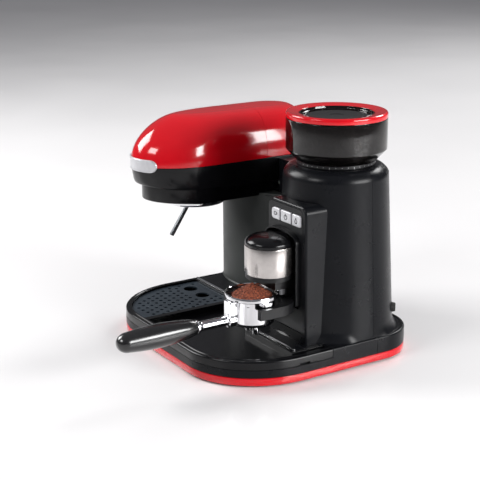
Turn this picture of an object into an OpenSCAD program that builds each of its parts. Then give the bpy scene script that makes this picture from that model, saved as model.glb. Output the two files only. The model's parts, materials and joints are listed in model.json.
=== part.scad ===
// Espresso machine with a built-in coffee grinder.
// X is to the right, Y to the back and Z up, seen from the front; z = 0 is the worktop
// and the origin is the centre of the base.

/* [Base] */
// Width of the base
base_w = 338; // [334:1:344]
// Depth of the base
base_d = 293.5; // [291:0.5:297]
// Sideways reach of the rounded front corners
front_corner_x = 97; // [90:1:100]
// Front-to-back reach of the rounded front corners
front_corner_y = 105; // [100:1:108]
// Radius of the rear corners
rear_corner_r = 59; // [56:1:62]
// Height of the deck above the worktop
deck_z = 33.5; // [33:0.5:34]
// Height of the joint between the base wall and the drip tray
tray_seam_z = 22; // [21:0.5:22.5]

/* [Brew head] */
// Sideways place of the brew head's centre
head_x = -118; // [-119:1:-117]
// Half the width of the brew head
head_half_w = 59.5; // [58:0.5:60]
// Front tip of the brew head
head_front_y = -115; // [-117:1:-113]
// Rear end of the brew head
head_rear_y = 151; // [150:1:152]
// Height of the joint between the red dome and the black skirt
dome_z = 225; // [224:1:226]
// Height of the top of the dome
head_top_z = 287.4; // [285:0.2:289]
// Front-to-back place of the brew group
group_y = -24; // [-25:1:-23]

/* [Grinder] */
// Sideways place of the grinder's axis
grinder_x = 91; // [90:1:91]
// Front-to-back place of the grinder's axis
grinder_y = 61; // [60:1:62]
// Radius of the grinder column above its foot
column_foot_r = 73; // [72:0.5:73.5]
// Radius of the grinder column below its shoulder
column_top_r = 68.5; // [68:0.5:69]
// Outer radius of the bean hopper
hopper_r = 63.5; // [63:0.5:64]
// Height of the top of the hopper lid
lid_top_z = 312; // [311:1:314]
// Teeth on the burr shaft's gear
gear_teeth = 60; // [60:60:60]
// Teeth on the motor's pinion
pinion_teeth = 12; // [12:12:12]

/* [Dispensing] */
// Sideways place of the niche, the fork and the tamper
niche_x = 93.5; // [93:0.5:94]
// Front plane of the control panel
panel_y = -18.7; // [-19:0.1:-18.4]
// Radius of the tamper
tamper_r = 30.5; // [30:0.5:30.5]
// Outer radius of the portafilter's rim
rim_r = 34; // [33.5:0.5:34]
// Length of the black part of the portafilter's handle
handle_len = 106; // [95:1:115]

/* [Hidden] */
$fn = 64;

wall = 3;
joint_gap = 0.4;
eps = 0.5;
black = [0.12, 0.12, 0.13];
dark_grey = [0.24, 0.25, 0.24];
glossy_red = [0.78, 0.02, 0.08];
chrome_grey = [0.85, 0.86, 0.88];
steel_grey = [0.68, 0.68, 0.68];
rubber_grey = [0.08, 0.08, 0.08];

// Base levels
foot_h = 3;
skirt_z0 = 2;
skirt_z1 = 12;
plate_t = 2;
tray_back_y = 3.5;
plinth_x0 = 50;
plinth_x1 = 148;
plinth_y = -42;
tray_z = tray_seam_z + 0.3;
tray_floor_t = 2.2;
tray_rim_w = 11;
ridge_w = 9;
finger_y0 = -46.5;
finger_y1 = -31;
grate_x0 = -160;
grate_x1 = -58;
hole_y = -23;
hole_x0 = -135;
hole_x1 = -102;
hole_pitch = 11;
grate_z = 28.6;
grate_t = 2;

// Head levels
band_z = 175;
skirt_z = 197;
band_inset = 9.5;
lid_y = 57;
band_nose = 5;
front_round = 85;
rear_round = 34;
nose_reach = 63;
tail_reach = 35.6;
group_bore_r = 35.4;
badge_z = dome_z + 1.5;
badge_h = 8.5;
badge_half_w = 26;
badge_t = 1.6;

// Column levels
column_z1 = 230;
shoulder_z = 246;
neck_r = 51.5;
shell_seam_y = 67;
collar_z = 246.4;
bowl_z0 = 251;
bowl_z1 = 265;
bowl_r0 = 50;
lid_z0 = 304.3;
lid_hole_r = 46.5;
hopper_t = 2.2;

// Niche and panel
panel_x0 = 60;
panel_x1 = 139.5;
panel_foot_x1 = 141.5;
panel_top_z = 207.5;
panel_corner_r = 10;
panel_back_y = 26;
niche_half_w = 32.5;
niche_top_z = 171.5;
niche_rise = 14;
niche_z0 = 76;
niche_back_y = -10;
niche_rim = 2.3;
niche_rim_y = panel_y - 6.3;
niche_rim_z0 = 82;
plate_x0 = 61.5;
plate_x1 = 133.5;
plate_foot_x1 = 136;
plate_z0 = 46;
plate_z1 = 204;
plate_corner_r = 7;
plate_depth = 1.8;
tamper_y = -41;
tamper_z0 = 120.6;
tamper_z1 = 156.5;
tamper_top_z = 168.6;
button_z0 = 181.5;
button_h = 14.5;
button_xs = [68.5, 88.4, 112.8];
button_ws = [17.5, 21.8, 17.5];
button_front_y = -21.2;

// Portafilter and fork
cup_x = 91.5;
cup_y = -65;
cup_r = 28.5;
cup_z0 = 63;
rim_z0 = 93.5;
rim_z1 = 99;
fork_z0 = 76;
fork_z1 = 88.5;
fork_in = 35.5;
fork_out = 42.5;
fork_tip_y = -81;
fork_bend_r = 31;
handle_z = 68;
boss_y = -101;
boss_half_w = 8;
boss_z0 = 73;
recess = 5;
ferrule_y0 = -106;
ferrule_y1 = -146;
ferrule_r = 6;
nozzle_x = 8;
nozzle_z = 45.6;
nozzle_r = 4.2;

// Grinder drive
gear_module = 1;
centre_dist = gear_module * (gear_teeth + pinion_teeth) / 2;
gear_z = 124;
gear_t = 8;
shaft_r = 4;
motor_shaft_r = 2.5;
run_gap = 0.05;
motor_top_z = 118;
frame_z = 140;
frame_t = 6;
chamber_z = 177;
chamber_r = 40;
bearing_r = 9;

// Left column, tank and steam
column_arc_r = 102;
column_arc_x = -116;
column_arc_y = 140;
column_left_x = -166;
column_back_y = 76;
housing_x0 = head_x + head_half_w + joint_gap;
housing_x1 = 60;
housing_top_z = 222;
tank_y0 = 79;
tank_x1 = housing_x0 - 2;
tank_top_z = 172;
wand_x = -160;
wand_y = 9;
wand_r = 3;
knob_y = 10;
knob_z = 211;
hinge_y = 154.5;
hinge_z = 225.4;
pump_x = -10;
pump_y = 110;
riser_x = -100;
riser_y = 58;
feed_x = -92;
feed_y = 40;
gland_angle = 48;
gland_z = 58;

// ---- outlines and helpers ----

function arc_pts(cx, cy, rx, ry, a0, a1, n) =
  [for (i = [0:n]) let (a = a0 + (a1 - a0) * i / n) [cx + rx * cos(a), cy + ry * sin(a)]];

// Plan of the base, moved in by inset.
function base_pts(inset) =
  let (
    w = base_w / 2 - inset, d = base_d / 2 - inset,
    fx = front_corner_x - inset, fy = front_corner_y - inset, r = rear_corner_r - inset
  ) concat(
    arc_pts(-w + fx, -d + fy, fx, fy, 180, 270, 16),
    arc_pts(w - fx, -d + fy, fx, fy, 270, 360, 16),
    arc_pts(w - r, d - r, r, r, 0, 90, 12),
    arc_pts(-w + r, d - r, r, r, 90, 180, 12)
  );

// Plan of the brew head, moved in by inset all round and by nose at the front tip.
function head_pts(inset, nose = 0) =
  let (
    w = head_half_w - inset, f = front_round - inset, r = rear_round - inset,
    yf = head_front_y + inset + nose, yr = head_rear_y - inset
  ) concat(
    arc_pts(head_x, yf + f, w, f, 180, 360, 28),
    arc_pts(head_x + w - r, yr - r, r, r, 0, 90, 8),
    arc_pts(head_x - w + r, yr - r, r, r, 90, 180, 8)
  );

module slab(z0, z1) {
  translate([0, 0, z0])
    linear_extrude(z1 - z0)
      children();
}

module box(x0, x1, y0, y1, z0, z1) {
  translate([x0, y0, z0])
    cube([x1 - x0, y1 - y0, z1 - z0]);
}

module rod(x, y, z0, z1, r) {
  translate([x, y, z0])
    cylinder(h = z1 - z0, r = r);
}

module tube(x, y, z0, z1, r_out, r_in) {
  difference() {
    rod(x, y, z0, z1, r_out);
    rod(x, y, z0 - 1, z1 + 1, r_in);
  }
}

module rod_x(x0, x1, y, z, r) {
  translate([x0, y, z])
    rotate([0, 90, 0])
      cylinder(h = x1 - x0, r = r);
}

module rod_y(x, y0, y1, z, r) {
  translate([x, y1, z])
    rotate([90, 0, 0])
      cylinder(h = y1 - y0, r = r);
}

// Straight rod between two points.
module strut(a, b, r) {
  d = b - a;
  translate(a)
    rotate([0, acos(d.z / norm(d)), atan2(d.y, d.x)])
      cylinder(h = norm(d), r = r, $fn = 32);
}

// Round pipe along a list of points, with ball elbows.
module pipe(pts, r) {
  for (i = [0:len(pts) - 2])
    strut(pts[i], pts[i + 1], r);
  for (i = [1:len(pts) - 2])
    translate(pts[i])
      sphere(r = r, $fn = 32);
}

// Spur gear outline with plain trapezoid teeth.
module gear_plan(teeth, m) {
  pitch = 360 / teeth;
  root = m * teeth / 2 - 1.05 * m;
  tip = m * teeth / 2 + 0.8 * m;
  polygon([
    for (i = [0:teeth - 1])
      for (p = [[-0.28, root], [-0.12, tip], [0.12, tip], [0.28, root]])
        let (a = pitch * (i + p[0])) [p[1] * cos(a), p[1] * sin(a)]
  ]);
}

// ---- base ----

module base_plan(inset) {
  polygon(base_pts(inset));
}

module tray_zone(grow) {
  x = base_w;
  polygon([
    [-x, -x], [x, -x], [x, tray_back_y + grow], [plinth_x1 - grow, tray_back_y + grow],
    [plinth_x1 - grow, plinth_y + grow], [plinth_x0 + grow, plinth_y + grow],
    [plinth_x0 + grow, tray_back_y + grow], [-x, tray_back_y + grow]
  ]);
}

screw_spots = [[-128, -60], [128, -60], [-40, -120], [40, -120], [-128, 92], [128, 92]];

module base_skirt() {
  color(glossy_red)
    slab(skirt_z0, skirt_z1)
      difference() {
        base_plan(0);
        base_plan(wall);
      }
}

module base_shell() {
  color(black)
    difference() {
      union() {
        difference() {
          slab(skirt_z1, deck_z)
            base_plan(0);
          slab(tray_seam_z, deck_z + 1)
            tray_zone(0);
          slab(skirt_z1 - 1, tray_seam_z - plate_t)
            base_plan(wall);
          slab(skirt_z1 - 1, deck_z - plate_t)
            difference() {
              base_plan(wall);
              tray_zone(wall);
            }
        }
        for (p = screw_spots)
          rod(p.x, p.y, foot_h + plate_t, tray_seam_z - plate_t + eps, 4.5);
      }
      for (p = screw_spots)
        rod(p.x, p.y, foot_h, 15, 1.6);
      rod(grinder_x, grinder_y, deck_z - 5, deck_z + 1, 26);
      rod(riser_x, riser_y, deck_z - 5, deck_z + 1, 10);
      rod(pump_x, pump_y, deck_z - 5, deck_z + 1, 20);
    }
}

module bottom_plate() {
  color(rubber_grey)
    difference() {
      slab(foot_h, foot_h + plate_t)
        base_plan(wall + joint_gap);
      for (p = screw_spots)
        rod(p.x, p.y, foot_h - 1, foot_h + plate_t + 1, 1.6);
      for (i = [0:9])
        box(60 + 7 * i, 63 + 7 * i, 40, 85, foot_h - 1, foot_h + plate_t + 1);
    }
}

module feet() {
  color(rubber_grey)
    for (p = [[-112, -84], [112, -84], [-126, 108], [126, 108], [0, 0]])
      rod(p.x, p.y, 0, foot_h, 11);
}

module base_screws() {
  color(steel_grey)
    for (p = screw_spots) {
      rod(p.x, p.y, foot_h - 1.4, foot_h, 3);
      rod(p.x, p.y, foot_h - 0.5, 14, 1.5);
    }
}

module deck_trims() {
  color(chrome_grey) {
    box(3.5 - base_w / 2, plinth_x0 - 28, tray_back_y + 0.6, tray_back_y + 3.6, deck_z, deck_z + 1);
    box(plinth_x0 + 2, plinth_x1 - 5, plinth_y + 0.6, plinth_y + 3.6, deck_z, deck_z + 1);
    rod(plinth_x1 - 3, plinth_y + 3, deck_z, deck_z + 1.4, 2);
  }
}

// ---- left column and rear ----

module column_plan(inset) {
  intersection() {
    translate([column_arc_x, column_arc_y])
      circle(r = column_arc_r - inset, $fn = 120);
    translate([column_left_x + inset, -50])
      square([200, 50 + column_back_y - inset]);
  }
}

module brew_column() {
  color(dark_grey)
    difference() {
      union() {
        slab(deck_z, band_z)
          column_plan(0);
        slab(deck_z, deck_z + 1.6)
          intersection() {
            translate([column_arc_x, column_arc_y])
              circle(r = column_arc_r + 1.6, $fn = 120);
            translate([column_left_x - 1, -50])
              square([130, 50 + column_back_y]);
          }
      }
      slab(deck_z - 1, band_z - wall)
        column_plan(wall);
      rod(riser_x, riser_y, band_z - 10, band_z + 1, 10);
    }
}

module rear_housing() {
  color(black)
    difference() {
      intersection() {
        box(housing_x0, housing_x1, column_back_y + joint_gap, 144, deck_z, housing_top_z);
        slab(deck_z, housing_top_z)
          base_plan(2);
      }
      box(housing_x0 + wall, housing_x1 + 1, column_back_y + wall, 144 - wall,
        deck_z - 1, housing_top_z - wall);
      column_solid(0.2);
      rod_x(housing_x0 - 1, housing_x0 + 4, 84, 186, 4);
      rod_x(housing_x0 - 1, housing_x0 + 4, pump_y, 42, 4);
    }
}

module water_tank() {
  color([0.5, 0.55, 0.6, 0.5])
    difference() {
      slab(deck_z + 0.3, tank_top_z)
        tank_plan(0);
      slab(deck_z + 3, tank_top_z + 1)
        tank_plan(2.4);
      box(-132, -104, 142, 150, 150, 158);
    }
}

module tank_plan(inset) {
  intersection() {
    translate([column_left_x + inset, tank_y0 + inset])
      square([tank_x1 - column_left_x - 2 * inset, 145 - tank_y0 - 2 * inset]);
    base_plan(3 + inset);
  }
}

// ---- grinder column ----

// Outside of the column; grow adds to every radius.
module column_solid(grow) {
  fillet = 9;
  translate([grinder_x, grinder_y, 0])
    rotate_extrude($fn = 128)
      polygon(concat(
        [[0, deck_z], [column_foot_r + fillet + grow, deck_z]],
        [for (a = [270:-15:180])
          [column_foot_r + fillet + grow + fillet * cos(a), deck_z + fillet + fillet * sin(a)]],
        arc_pts(neck_r + grow, column_z1, column_top_r - neck_r, shoulder_z - column_z1, 0, 90, 8),
        [[0, shoulder_z]]
      ));
}

module column_hollow() {
  translate([grinder_x, grinder_y, 0])
    rotate_extrude($fn = 128)
      polygon(concat(
        [[0, deck_z - 1], [column_foot_r - wall, deck_z - 1]],
        arc_pts(neck_r - wall, column_z1, column_top_r - neck_r, shoulder_z - column_z1 - wall,
          0, 90, 8),
        [[0, shoulder_z - wall]]
      ));
}

module panel_plan(inset) {
  r = panel_corner_r - inset;
  polygon(concat(
    [[panel_x0 + inset, deck_z + inset], [panel_foot_x1 - inset, deck_z + inset]],
    arc_pts(panel_x1 - inset - r, panel_top_z - inset - r, r, r, 0, 90, 8),
    arc_pts(panel_x0 + inset + r, panel_top_z - inset - r, r, r, 90, 180, 8)
  ));
}

// Upright outline in X and Z, pushed from y0 to y1.
module upright(y0, y1) {
  translate([0, y1, 0])
    rotate([90, 0, 0])
      linear_extrude(y1 - y0)
        children();
}

// Niche outline: straight sides under a flattened arch with full shoulders.
module niche_plan(grow) {
  w = niche_half_w + grow;
  rise = niche_rise + grow;
  power = 2 / 2.6;
  polygon(concat(
    [[niche_x - w, niche_z0 - grow], [niche_x + w, niche_z0 - grow]],
    [for (a = [0:5:90])
      [niche_x + w * pow(cos(a), power), niche_top_z - niche_rise + rise * pow(sin(a), power)]],
    [for (a = [85:-5:0])
      [niche_x - w * pow(cos(a), power), niche_top_z - niche_rise + rise * pow(sin(a), power)]]
  ));
}

module button_plan(i, grow) {
  translate([button_xs[i] - grow, button_z0 - grow])
    square([button_ws[i] + 2 * grow, button_h + 2 * grow]);
}

module grinder_front_shell() {
  color(black)
    difference() {
      intersection() {
        union() {
          column_solid(0);
          upright(panel_y, panel_back_y)
            panel_plan(0);
        }
        box(-50, 200, -60, shell_seam_y, deck_z, shoulder_z + 1);
        slab(deck_z, shoulder_z)
          base_plan(0);
      }
      column_hollow();
      difference() {
        upright(panel_y + plate_depth + wall, panel_back_y + 4)
          panel_plan(wall);
        upright(panel_y, niche_back_y + 2.5)
          niche_plan(2.5);
      }
      upright(panel_y - 1, niche_back_y)
        niche_plan(0);
      upright(panel_y - 1, panel_y + plate_depth)
        plate_plan(-joint_gap);
      rim_body(panel_y - 1, panel_y + plate_depth, joint_gap);
      for (i = [0:2])
        upright(panel_y - 1, panel_y + 8)
          button_plan(i, 0.6);
      rod_y(niche_x, niche_back_y - 1, 6, 109, 7.4);
      box(niche_x + 5, niche_x + 13, niche_back_y - 1, 8, 90.5, 100.5);
      rod(grinder_x, grinder_y, shoulder_z - 6, shoulder_z + 1, 36);
    }
}

module grinder_rear_shell() {
  color(black)
    difference() {
      intersection() {
        column_solid(0);
        box(-50, 200, shell_seam_y + joint_gap, 200, deck_z, shoulder_z + 1);
        slab(deck_z, shoulder_z)
          base_plan(0);
      }
      column_hollow();
      rod(grinder_x, grinder_y, shoulder_z - 6, shoulder_z + 1, 36);
      gland_place()
        cylinder(h = 30, r = 5.2, center = true);
      for (i = [0:5])
        box(grinder_x - 22 + 8 * i, grinder_x - 18 + 8 * i, 118, 150, 70, 100);
    }
}

module plate_plan(inset) {
  r = plate_corner_r;
  polygon(concat(
    [[plate_x0 + inset, plate_z0 + inset], [plate_foot_x1 - inset, plate_z0 + inset]],
    arc_pts(plate_x1 - inset - r, plate_z1 - inset - r, r, r, 0, 90, 8),
    arc_pts(plate_x0 + inset + r, plate_z1 - inset - r, r, r, 90, 180, 8)
  ));
}

// Rim that stands out round the niche, grown all round.
module rim_body(y0, y1, grow) {
  intersection() {
    upright(y0, y1)
      niche_plan(niche_rim + grow);
    slab(niche_rim_z0 - grow, panel_top_z)
      square(400, center = true);
  }
}

module control_panel() {
  color(black)
    difference() {
      union() {
        upright(panel_y, panel_y + plate_depth)
          plate_plan(joint_gap);
        rim_body(niche_rim_y, panel_y + plate_depth, 0);
      }
      upright(niche_rim_y - 1, panel_y + 3)
        niche_plan(0);
      for (i = [0:2])
        upright(panel_y - 1, panel_y + 3)
          button_plan(i, 0.6);
    }
}

module gland_place() {
  translate([grinder_x, grinder_y, gland_z])
    rotate([0, 0, gland_angle])
      translate([column_foot_r, 0, 0])
        rotate([0, 90, 0])
          children();
}

module cable_gland() {
  color(rubber_grey)
    gland_place()
      difference() {
        union() {
          translate([0, 0, -6])
            cylinder(h = 8, r = 5);
          translate([0, 0, 0.6])
            cylinder(h = 6, r1 = 6.8, r2 = 5.4);
        }
        translate([0, 0, -8])
          cylinder(h = 20, r = 3.3);
      }
}

// ---- dispensing ----

module portafilter_fork() {
  color(black)
    difference() {
      union() {
        slab(fork_z0, fork_z1)
          polygon(concat(
            [[niche_x - fork_out, fork_tip_y], [niche_x + fork_out, fork_tip_y]],
            arc_pts(niche_x + fork_out - fork_bend_r, panel_y - fork_bend_r,
              fork_bend_r, fork_bend_r, 0, 90, 12),
            arc_pts(niche_x - fork_out + fork_bend_r, panel_y - fork_bend_r,
              fork_bend_r, fork_bend_r, 90, 180, 12)
          ));
        box(niche_x - 22, niche_x + 22, panel_y - 1, niche_back_y, fork_z0, fork_z1);
        for (s = [-1, 1])
          translate([niche_x + s * 21, niche_back_y - 17, fork_z1])
            gusset(17, 4);
      }
      box(niche_x - fork_in, niche_x + fork_in, fork_tip_y - 1, cup_y, fork_z0 - 1, fork_z1 + 1);
      rod(niche_x, cup_y, fork_z0 - 1, fork_z1 + 1, fork_in);
    }
}

// Block with a hollow quarter-round front, r tall and deep, t wide, centred on X.
module gusset(r, t) {
  translate([-t / 2, 0, 0])
    difference() {
      translate([0, 0, -0.5])
        cube([t, r, r + 0.5]);
      translate([-1, 0, r])
        rotate([0, 90, 0])
          cylinder(h = t + 2, r = r);
    }
}

module outlet_arm() {
  color(black)
    difference() {
      union() {
        rod(niche_x, tamper_y, 115, tamper_z0 - 0.3, tamper_r - 1);
        box(niche_x - 18, niche_x + 18, tamper_y - 3, niche_back_y, 101, 116);
        for (s = [-1, 1])
          box(niche_x + s * 15.5 - 1.5, niche_x + s * 15.5 + 1.5, -27, niche_back_y, 91, 102);
      }
      rod_y(niche_x, tamper_y + 8, niche_back_y + 1, 109, 7.4);
      rod(niche_x, tamper_y + 12, 100, 109, 9);
      rod(niche_x, tamper_y, 116, tamper_z0 + 1, 8.2);
    }
}

chute_pts = [
  [grinder_x, 20.6, 192], [grinder_x, 14, 192], [niche_x, 8, 130], [niche_x, 2, 109],
  [niche_x, niche_back_y + 0.3, 109]
];

module grounds_chute() {
  color(rubber_grey)
    difference() {
      pipe(chute_pts, 7.2);
      pipe(chute_pts, 5.6);
      translate(chute_pts[0])
        sphere(r = 5.8);
      rod_y(niche_x, niche_back_y - 3, niche_back_y + 6, 109, 5.6);
    }
}

module tamper_base() {
  color(steel_grey)
    difference() {
      translate([niche_x, tamper_y, 0])
        rotate_extrude($fn = 96)
          polygon([
            [0, tamper_z0], [tamper_r - 0.8, tamper_z0], [tamper_r, tamper_z0 + 0.8],
            [tamper_r, tamper_z1], [0, tamper_z1]
          ]);
      rod(niche_x, tamper_y, tamper_z0 - 1, tamper_z0 + 4, 8.2);
    }
}

module tamper_knob() {
  color(black)
    translate([niche_x, tamper_y, 0])
      rotate_extrude($fn = 96)
        polygon(concat(
          [[0, tamper_z1], [tamper_r - 0.6, tamper_z1]],
          arc_pts(tamper_r - 12, tamper_z1 + 2, 11.4, tamper_top_z - tamper_z1 - 4, 0, 70, 8),
          [[0, tamper_top_z]]
        ));
}

module rounded_key(i) {
  difference() {
    upright(button_front_y, panel_y + 5)
      button_plan(i, 0);
    box(button_xs[i] + 2, button_xs[i] + button_ws[i] - 2, panel_y + 1, panel_y + 6,
      button_z0 + 2, button_z0 + button_h - 2);
  }
  rod_y(button_xs[i] + button_ws[i] / 2, panel_y, panel_y + 5, button_z0 + button_h / 2, 2.2);
}

module cup_button() {
  color(chrome_grey)
    rounded_key(0);
}

module power_button() {
  color(chrome_grey)
    rounded_key(1);
}

module steam_button() {
  color(chrome_grey)
    rounded_key(2);
}

module grind_switch() {
  color(chrome_grey) {
    box(niche_x + 6, niche_x + 12, -31.5, 3, 91.5, 99.5);
    box(niche_x + 3, niche_x + 15, 1.5, 3.5, 86, 100.4);
  }
}

// ---- portafilter ----

module portafilter_cup() {
  color(chrome_grey)
    difference() {
      union() {
        translate([cup_x, cup_y, 0])
          rotate_extrude($fn = 96)
            polygon(concat(
              [[0, cup_z0]],
              arc_pts(cup_r - 4, cup_z0 + 4, 4, 4, 270, 360, 6),
              [[cup_r, rim_z0 - 1.5], [rim_r, rim_z0], [rim_r, rim_z1], [0, rim_z1]]
            ));
        for (a = [0, 180])
          translate([cup_x, cup_y, 0])
            rotate([0, 0, a])
              box(rim_r - 3, rim_r + 4, -7, 7, fork_z1 + 0.6, fork_z1 + 5.6);
        box(cup_x - boss_half_w, cup_x + boss_half_w, boss_y, cup_y - cup_r + 6, boss_z0, rim_z0 + 1);
        rod_y(cup_x, boss_y, cup_y - cup_r + 4, handle_z, 9);
        rod_y(cup_x, ferrule_y0, boss_y + 1, handle_z, ferrule_r);
      }
      rod(cup_x, cup_y, cup_z0 + 4, rim_z1 + 1, cup_r - 2);
      rod(cup_x, cup_y, rim_z1 - recess, rim_z1 + 1, rim_r - 1.8);
      rod(cup_x, cup_y, cup_z0 - 1, cup_z0 + 5, 4);
    }
}

module filter_basket() {
  r_out = cup_r - 2.4;
  color(steel_grey)
    translate([cup_x, cup_y, 0])
      rotate_extrude($fn = 96)
        polygon([
          [0, 71], [r_out, 71], [r_out, rim_z1 - recess], [rim_r - 2.2, rim_z1 - recess],
          [rim_r - 2.2, rim_z1 - recess + 1], [r_out - 0.8, rim_z1 - recess + 1],
          [r_out - 0.8, 71.8], [0, 71.8]
        ]);
}

module ground_coffee() {
  r = cup_r - 3.4;
  color([0.32, 0.17, 0.09])
    translate([cup_x, cup_y, 0])
      rotate_extrude($fn = 96)
        polygon([
          [0, 71.9], [r, 71.9], [r, 94.6], [r * 0.94, 96.4], [r * 0.35, 108], [r * 0.12, 111],
          [0, 111.3]
        ]);
}

module pour_spout() {
  color(chrome_grey)
    difference() {
      union() {
        rod(cup_x, cup_y, 52, cup_z0, 7);
        rod(cup_x, cup_y, cup_z0, cup_z0 + 4, 3.9);
        for (s = [-1, 1])
          rod(cup_x + s * nozzle_x, cup_y, nozzle_z, 59, nozzle_r);
      }
      rod(cup_x, cup_y, 55, cup_z0 + 5, 2.6);
      rod_x(cup_x - nozzle_x, cup_x + nozzle_x, cup_y, 54.5, 2);
      for (s = [-1, 1])
        rod(cup_x + s * nozzle_x, cup_y, nozzle_z - 1, 54.5, nozzle_r - 1.4);
    }
}

module handle_ferrule() {
  length = ferrule_y0 - ferrule_y1;
  color(chrome_grey)
    translate([cup_x, ferrule_y0, handle_z])
      rotate([90, 0, 0])
        rotate_extrude($fn = 64)
          polygon([
            [0, 0], [ferrule_r, 0], [ferrule_r, length - 4], [8.4, length - 1],
            [8.4, length], [0, length]
          ]);
}

module portafilter_handle() {
  color(black)
    translate([cup_x, ferrule_y1, handle_z])
      rotate([90, 0, 0])
        rotate_extrude($fn = 64)
          polygon(concat(
            [[0, 0], [9, 0], [11, 6]],
            [for (i = [1:10]) [11 + 3.6 * sin(i * 16), 6 + (handle_len - 20) * i / 10]],
            arc_pts(2, handle_len - 12, 10.5, 12, 10, 90, 8),
            [[0, handle_len]]
          ));
}

// ---- brew head ----

module head_base() {
  color(black)
    difference() {
      slab(band_z, skirt_z)
        polygon(head_pts(band_inset, band_nose));
      slab(band_z + 2.5, skirt_z + 1)
        polygon(head_pts(band_inset + wall, band_nose));
      rod(head_x, group_y, band_z - 1, band_z + 4, group_bore_r);
      rod(wand_x, wand_y, band_z - 1, band_z + 4, 5.3);
      rod(riser_x, riser_y, band_z - 1, band_z + 4, 10);
      box(-146, -90, 92, 132, band_z - 1, band_z + 4);
      rod_x(head_x + 40, head_x + 60, 84, 186, 4);
    }
}

module head_skirt() {
  color(black)
    difference() {
      union() {
        slab(skirt_z, dome_z)
          polygon(head_pts(0));
        for (x = [-148, -97])
          hinge_lug(x, 9);
      }
      slab(skirt_z + 2.5, dome_z + 1)
        polygon(head_pts(wall));
      rod(head_x, group_y, skirt_z - 1, skirt_z + 4, 40);
      rod(wand_x, wand_y, skirt_z - 1, skirt_z + 4, 3.6);
      rod(feed_x, feed_y, skirt_z - 1, skirt_z + 4, 4);
      box(-146, -90, 92, 132, skirt_z - 1, skirt_z + 4);
      rod_x(head_x - 70, head_x - 50, knob_y, knob_z, 3.6);
      rod_x(-150, -86, hinge_y, hinge_z, 1.5);
    }
}

module hinge_lug(x, len) {
  rod_x(x, x + len, hinge_y, hinge_z, 3.2);
  box(x, x + len, head_rear_y - 2, hinge_y, hinge_z - 12, hinge_z);
}

// One thin slice of the dome, at angle theta from 0 at the skirt to 90 at the top.
module dome_slice(theta, inset) {
  w = (head_half_w - inset) * pow(cos(theta), 0.485);
  yf = head_front_y + inset + nose_reach * (1 - pow(cos(theta), 2.05));
  yr = head_rear_y - inset - tail_reach * (1 - pow(cos(theta), 0.7));
  f = front_round - inset;
  r = rear_round - inset;
  translate([0, 0, dome_z + (head_top_z - dome_z - inset) * pow(sin(theta), 0.98)])
    linear_extrude(0.02)
      polygon(concat(
        arc_pts(head_x, yf + f, w, f, 180, 360, 24),
        arc_pts(head_x, yr - r, w, r, 0, 180, 16)
      ));
}

module dome_solid(inset) {
  hull()
    for (theta = [0, 12, 24, 36, 48, 58, 68, 77, 84, 88])
      dome_slice(theta, inset);
}

module dome_shell() {
  difference() {
    dome_solid(0);
    translate([0, 0, -0.1])
      dome_solid(2.6);
  }
}

module head_cover() {
  color(glossy_red)
    difference() {
      dome_shell();
      box(-200, 0, lid_y, 200, 200, 300);
    }
}

module fill_lid() {
  color(glossy_red) {
    difference() {
      dome_shell();
      box(-200, 0, -200, lid_y + joint_gap, 200, 300);
      box(-200, 0, 0, 200, dome_z - 1, dome_z + joint_gap);
    }
    for (x = [-138.6, -105.8]) {
      rod_x(x, x + 8.4, hinge_y, hinge_z, 3.2);
      box(x, x + 8.4, head_rear_y - 3.4, hinge_y + 1, hinge_z + 1, hinge_z + 8);
    }
    rod_x(-147.6, -138, hinge_y, hinge_z, 1.45);
    rod_x(-98, -88.4, hinge_y, hinge_z, 1.45);
  }
}

module badge_plate() {
  color(chrome_grey)
    intersection() {
      slab(badge_z - badge_h, badge_z + badge_h)
        difference() {
          polygon(head_pts(-badge_t));
          polygon(head_pts(0));
        }
      translate([head_x, head_front_y, 0])
        upright(-10, 40)
          polygon(concat(
            arc_pts(-badge_half_w, badge_z, badge_h, badge_h, 90, 270, 12),
            arc_pts(badge_half_w, badge_z, badge_h, badge_h, 270, 450, 12)
          ));
    }
}

module group_head() {
  color(chrome_grey)
    difference() {
      union() {
        rod(head_x, group_y, 170, 190, 34.8);
        rod(head_x, group_y, 190, 200, 39);
      }
      rod(head_x, group_y, 169, 174, 26);
      rod(head_x, group_y, 169, 201, 3);
    }
}

module locking_ring() {
  color(black)
    difference() {
      rod(head_x, group_y, 165, band_z, 39.5);
      rod(head_x, group_y, 164, band_z + 1, 35.2);
      for (a = [30, 150, 270])
        translate([head_x, group_y, 0])
          rotate([0, 0, a])
            box(30, 45, -9, 9, 164, 168.5);
    }
}

module group_gasket() {
  color(rubber_grey)
    tube(head_x, group_y, 166.5, 170, 34.4, 27.8);
}

module shower_screen() {
  color(steel_grey)
    difference() {
      union() {
        rod(head_x, group_y, 167.4, 170, 27.4);
        rod(head_x, group_y, 166.6, 172, 4.5);
      }
      for (k = [1:3])
        for (i = [0:6 * k - 1])
          translate([head_x, group_y, 0])
            rotate([0, 0, i * 60 / k])
              rod(7 * k + 1, 0, 166, 171, 0.9);
    }
}

module boiler() {
  color(steel_grey)
    difference() {
      union() {
        rod(head_x, group_y, 200, 240, 34);
        rod(head_x, group_y, 200, 206, 39);
        rod(head_x, group_y, 240, 246, 20);
        rod(head_x + 14, group_y + 8, 240, 252, 5);
        rod(head_x - 14, group_y + 8, 240, 250, 8);
      }
      rod(head_x, group_y, 206, 234, 30);
    }
}

module pump() {
  color([0.75, 0.6, 0.3]) {
    box(pump_x - 17, pump_x + 17, pump_y - 17, pump_y + 17, 58, 98);
    rod(pump_x, pump_y, 46, 58, 9);
    rod(pump_x, pump_y, 98, 118, 9);
    rod(pump_x, pump_y, 118, 124, 4);
  }
}

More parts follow.
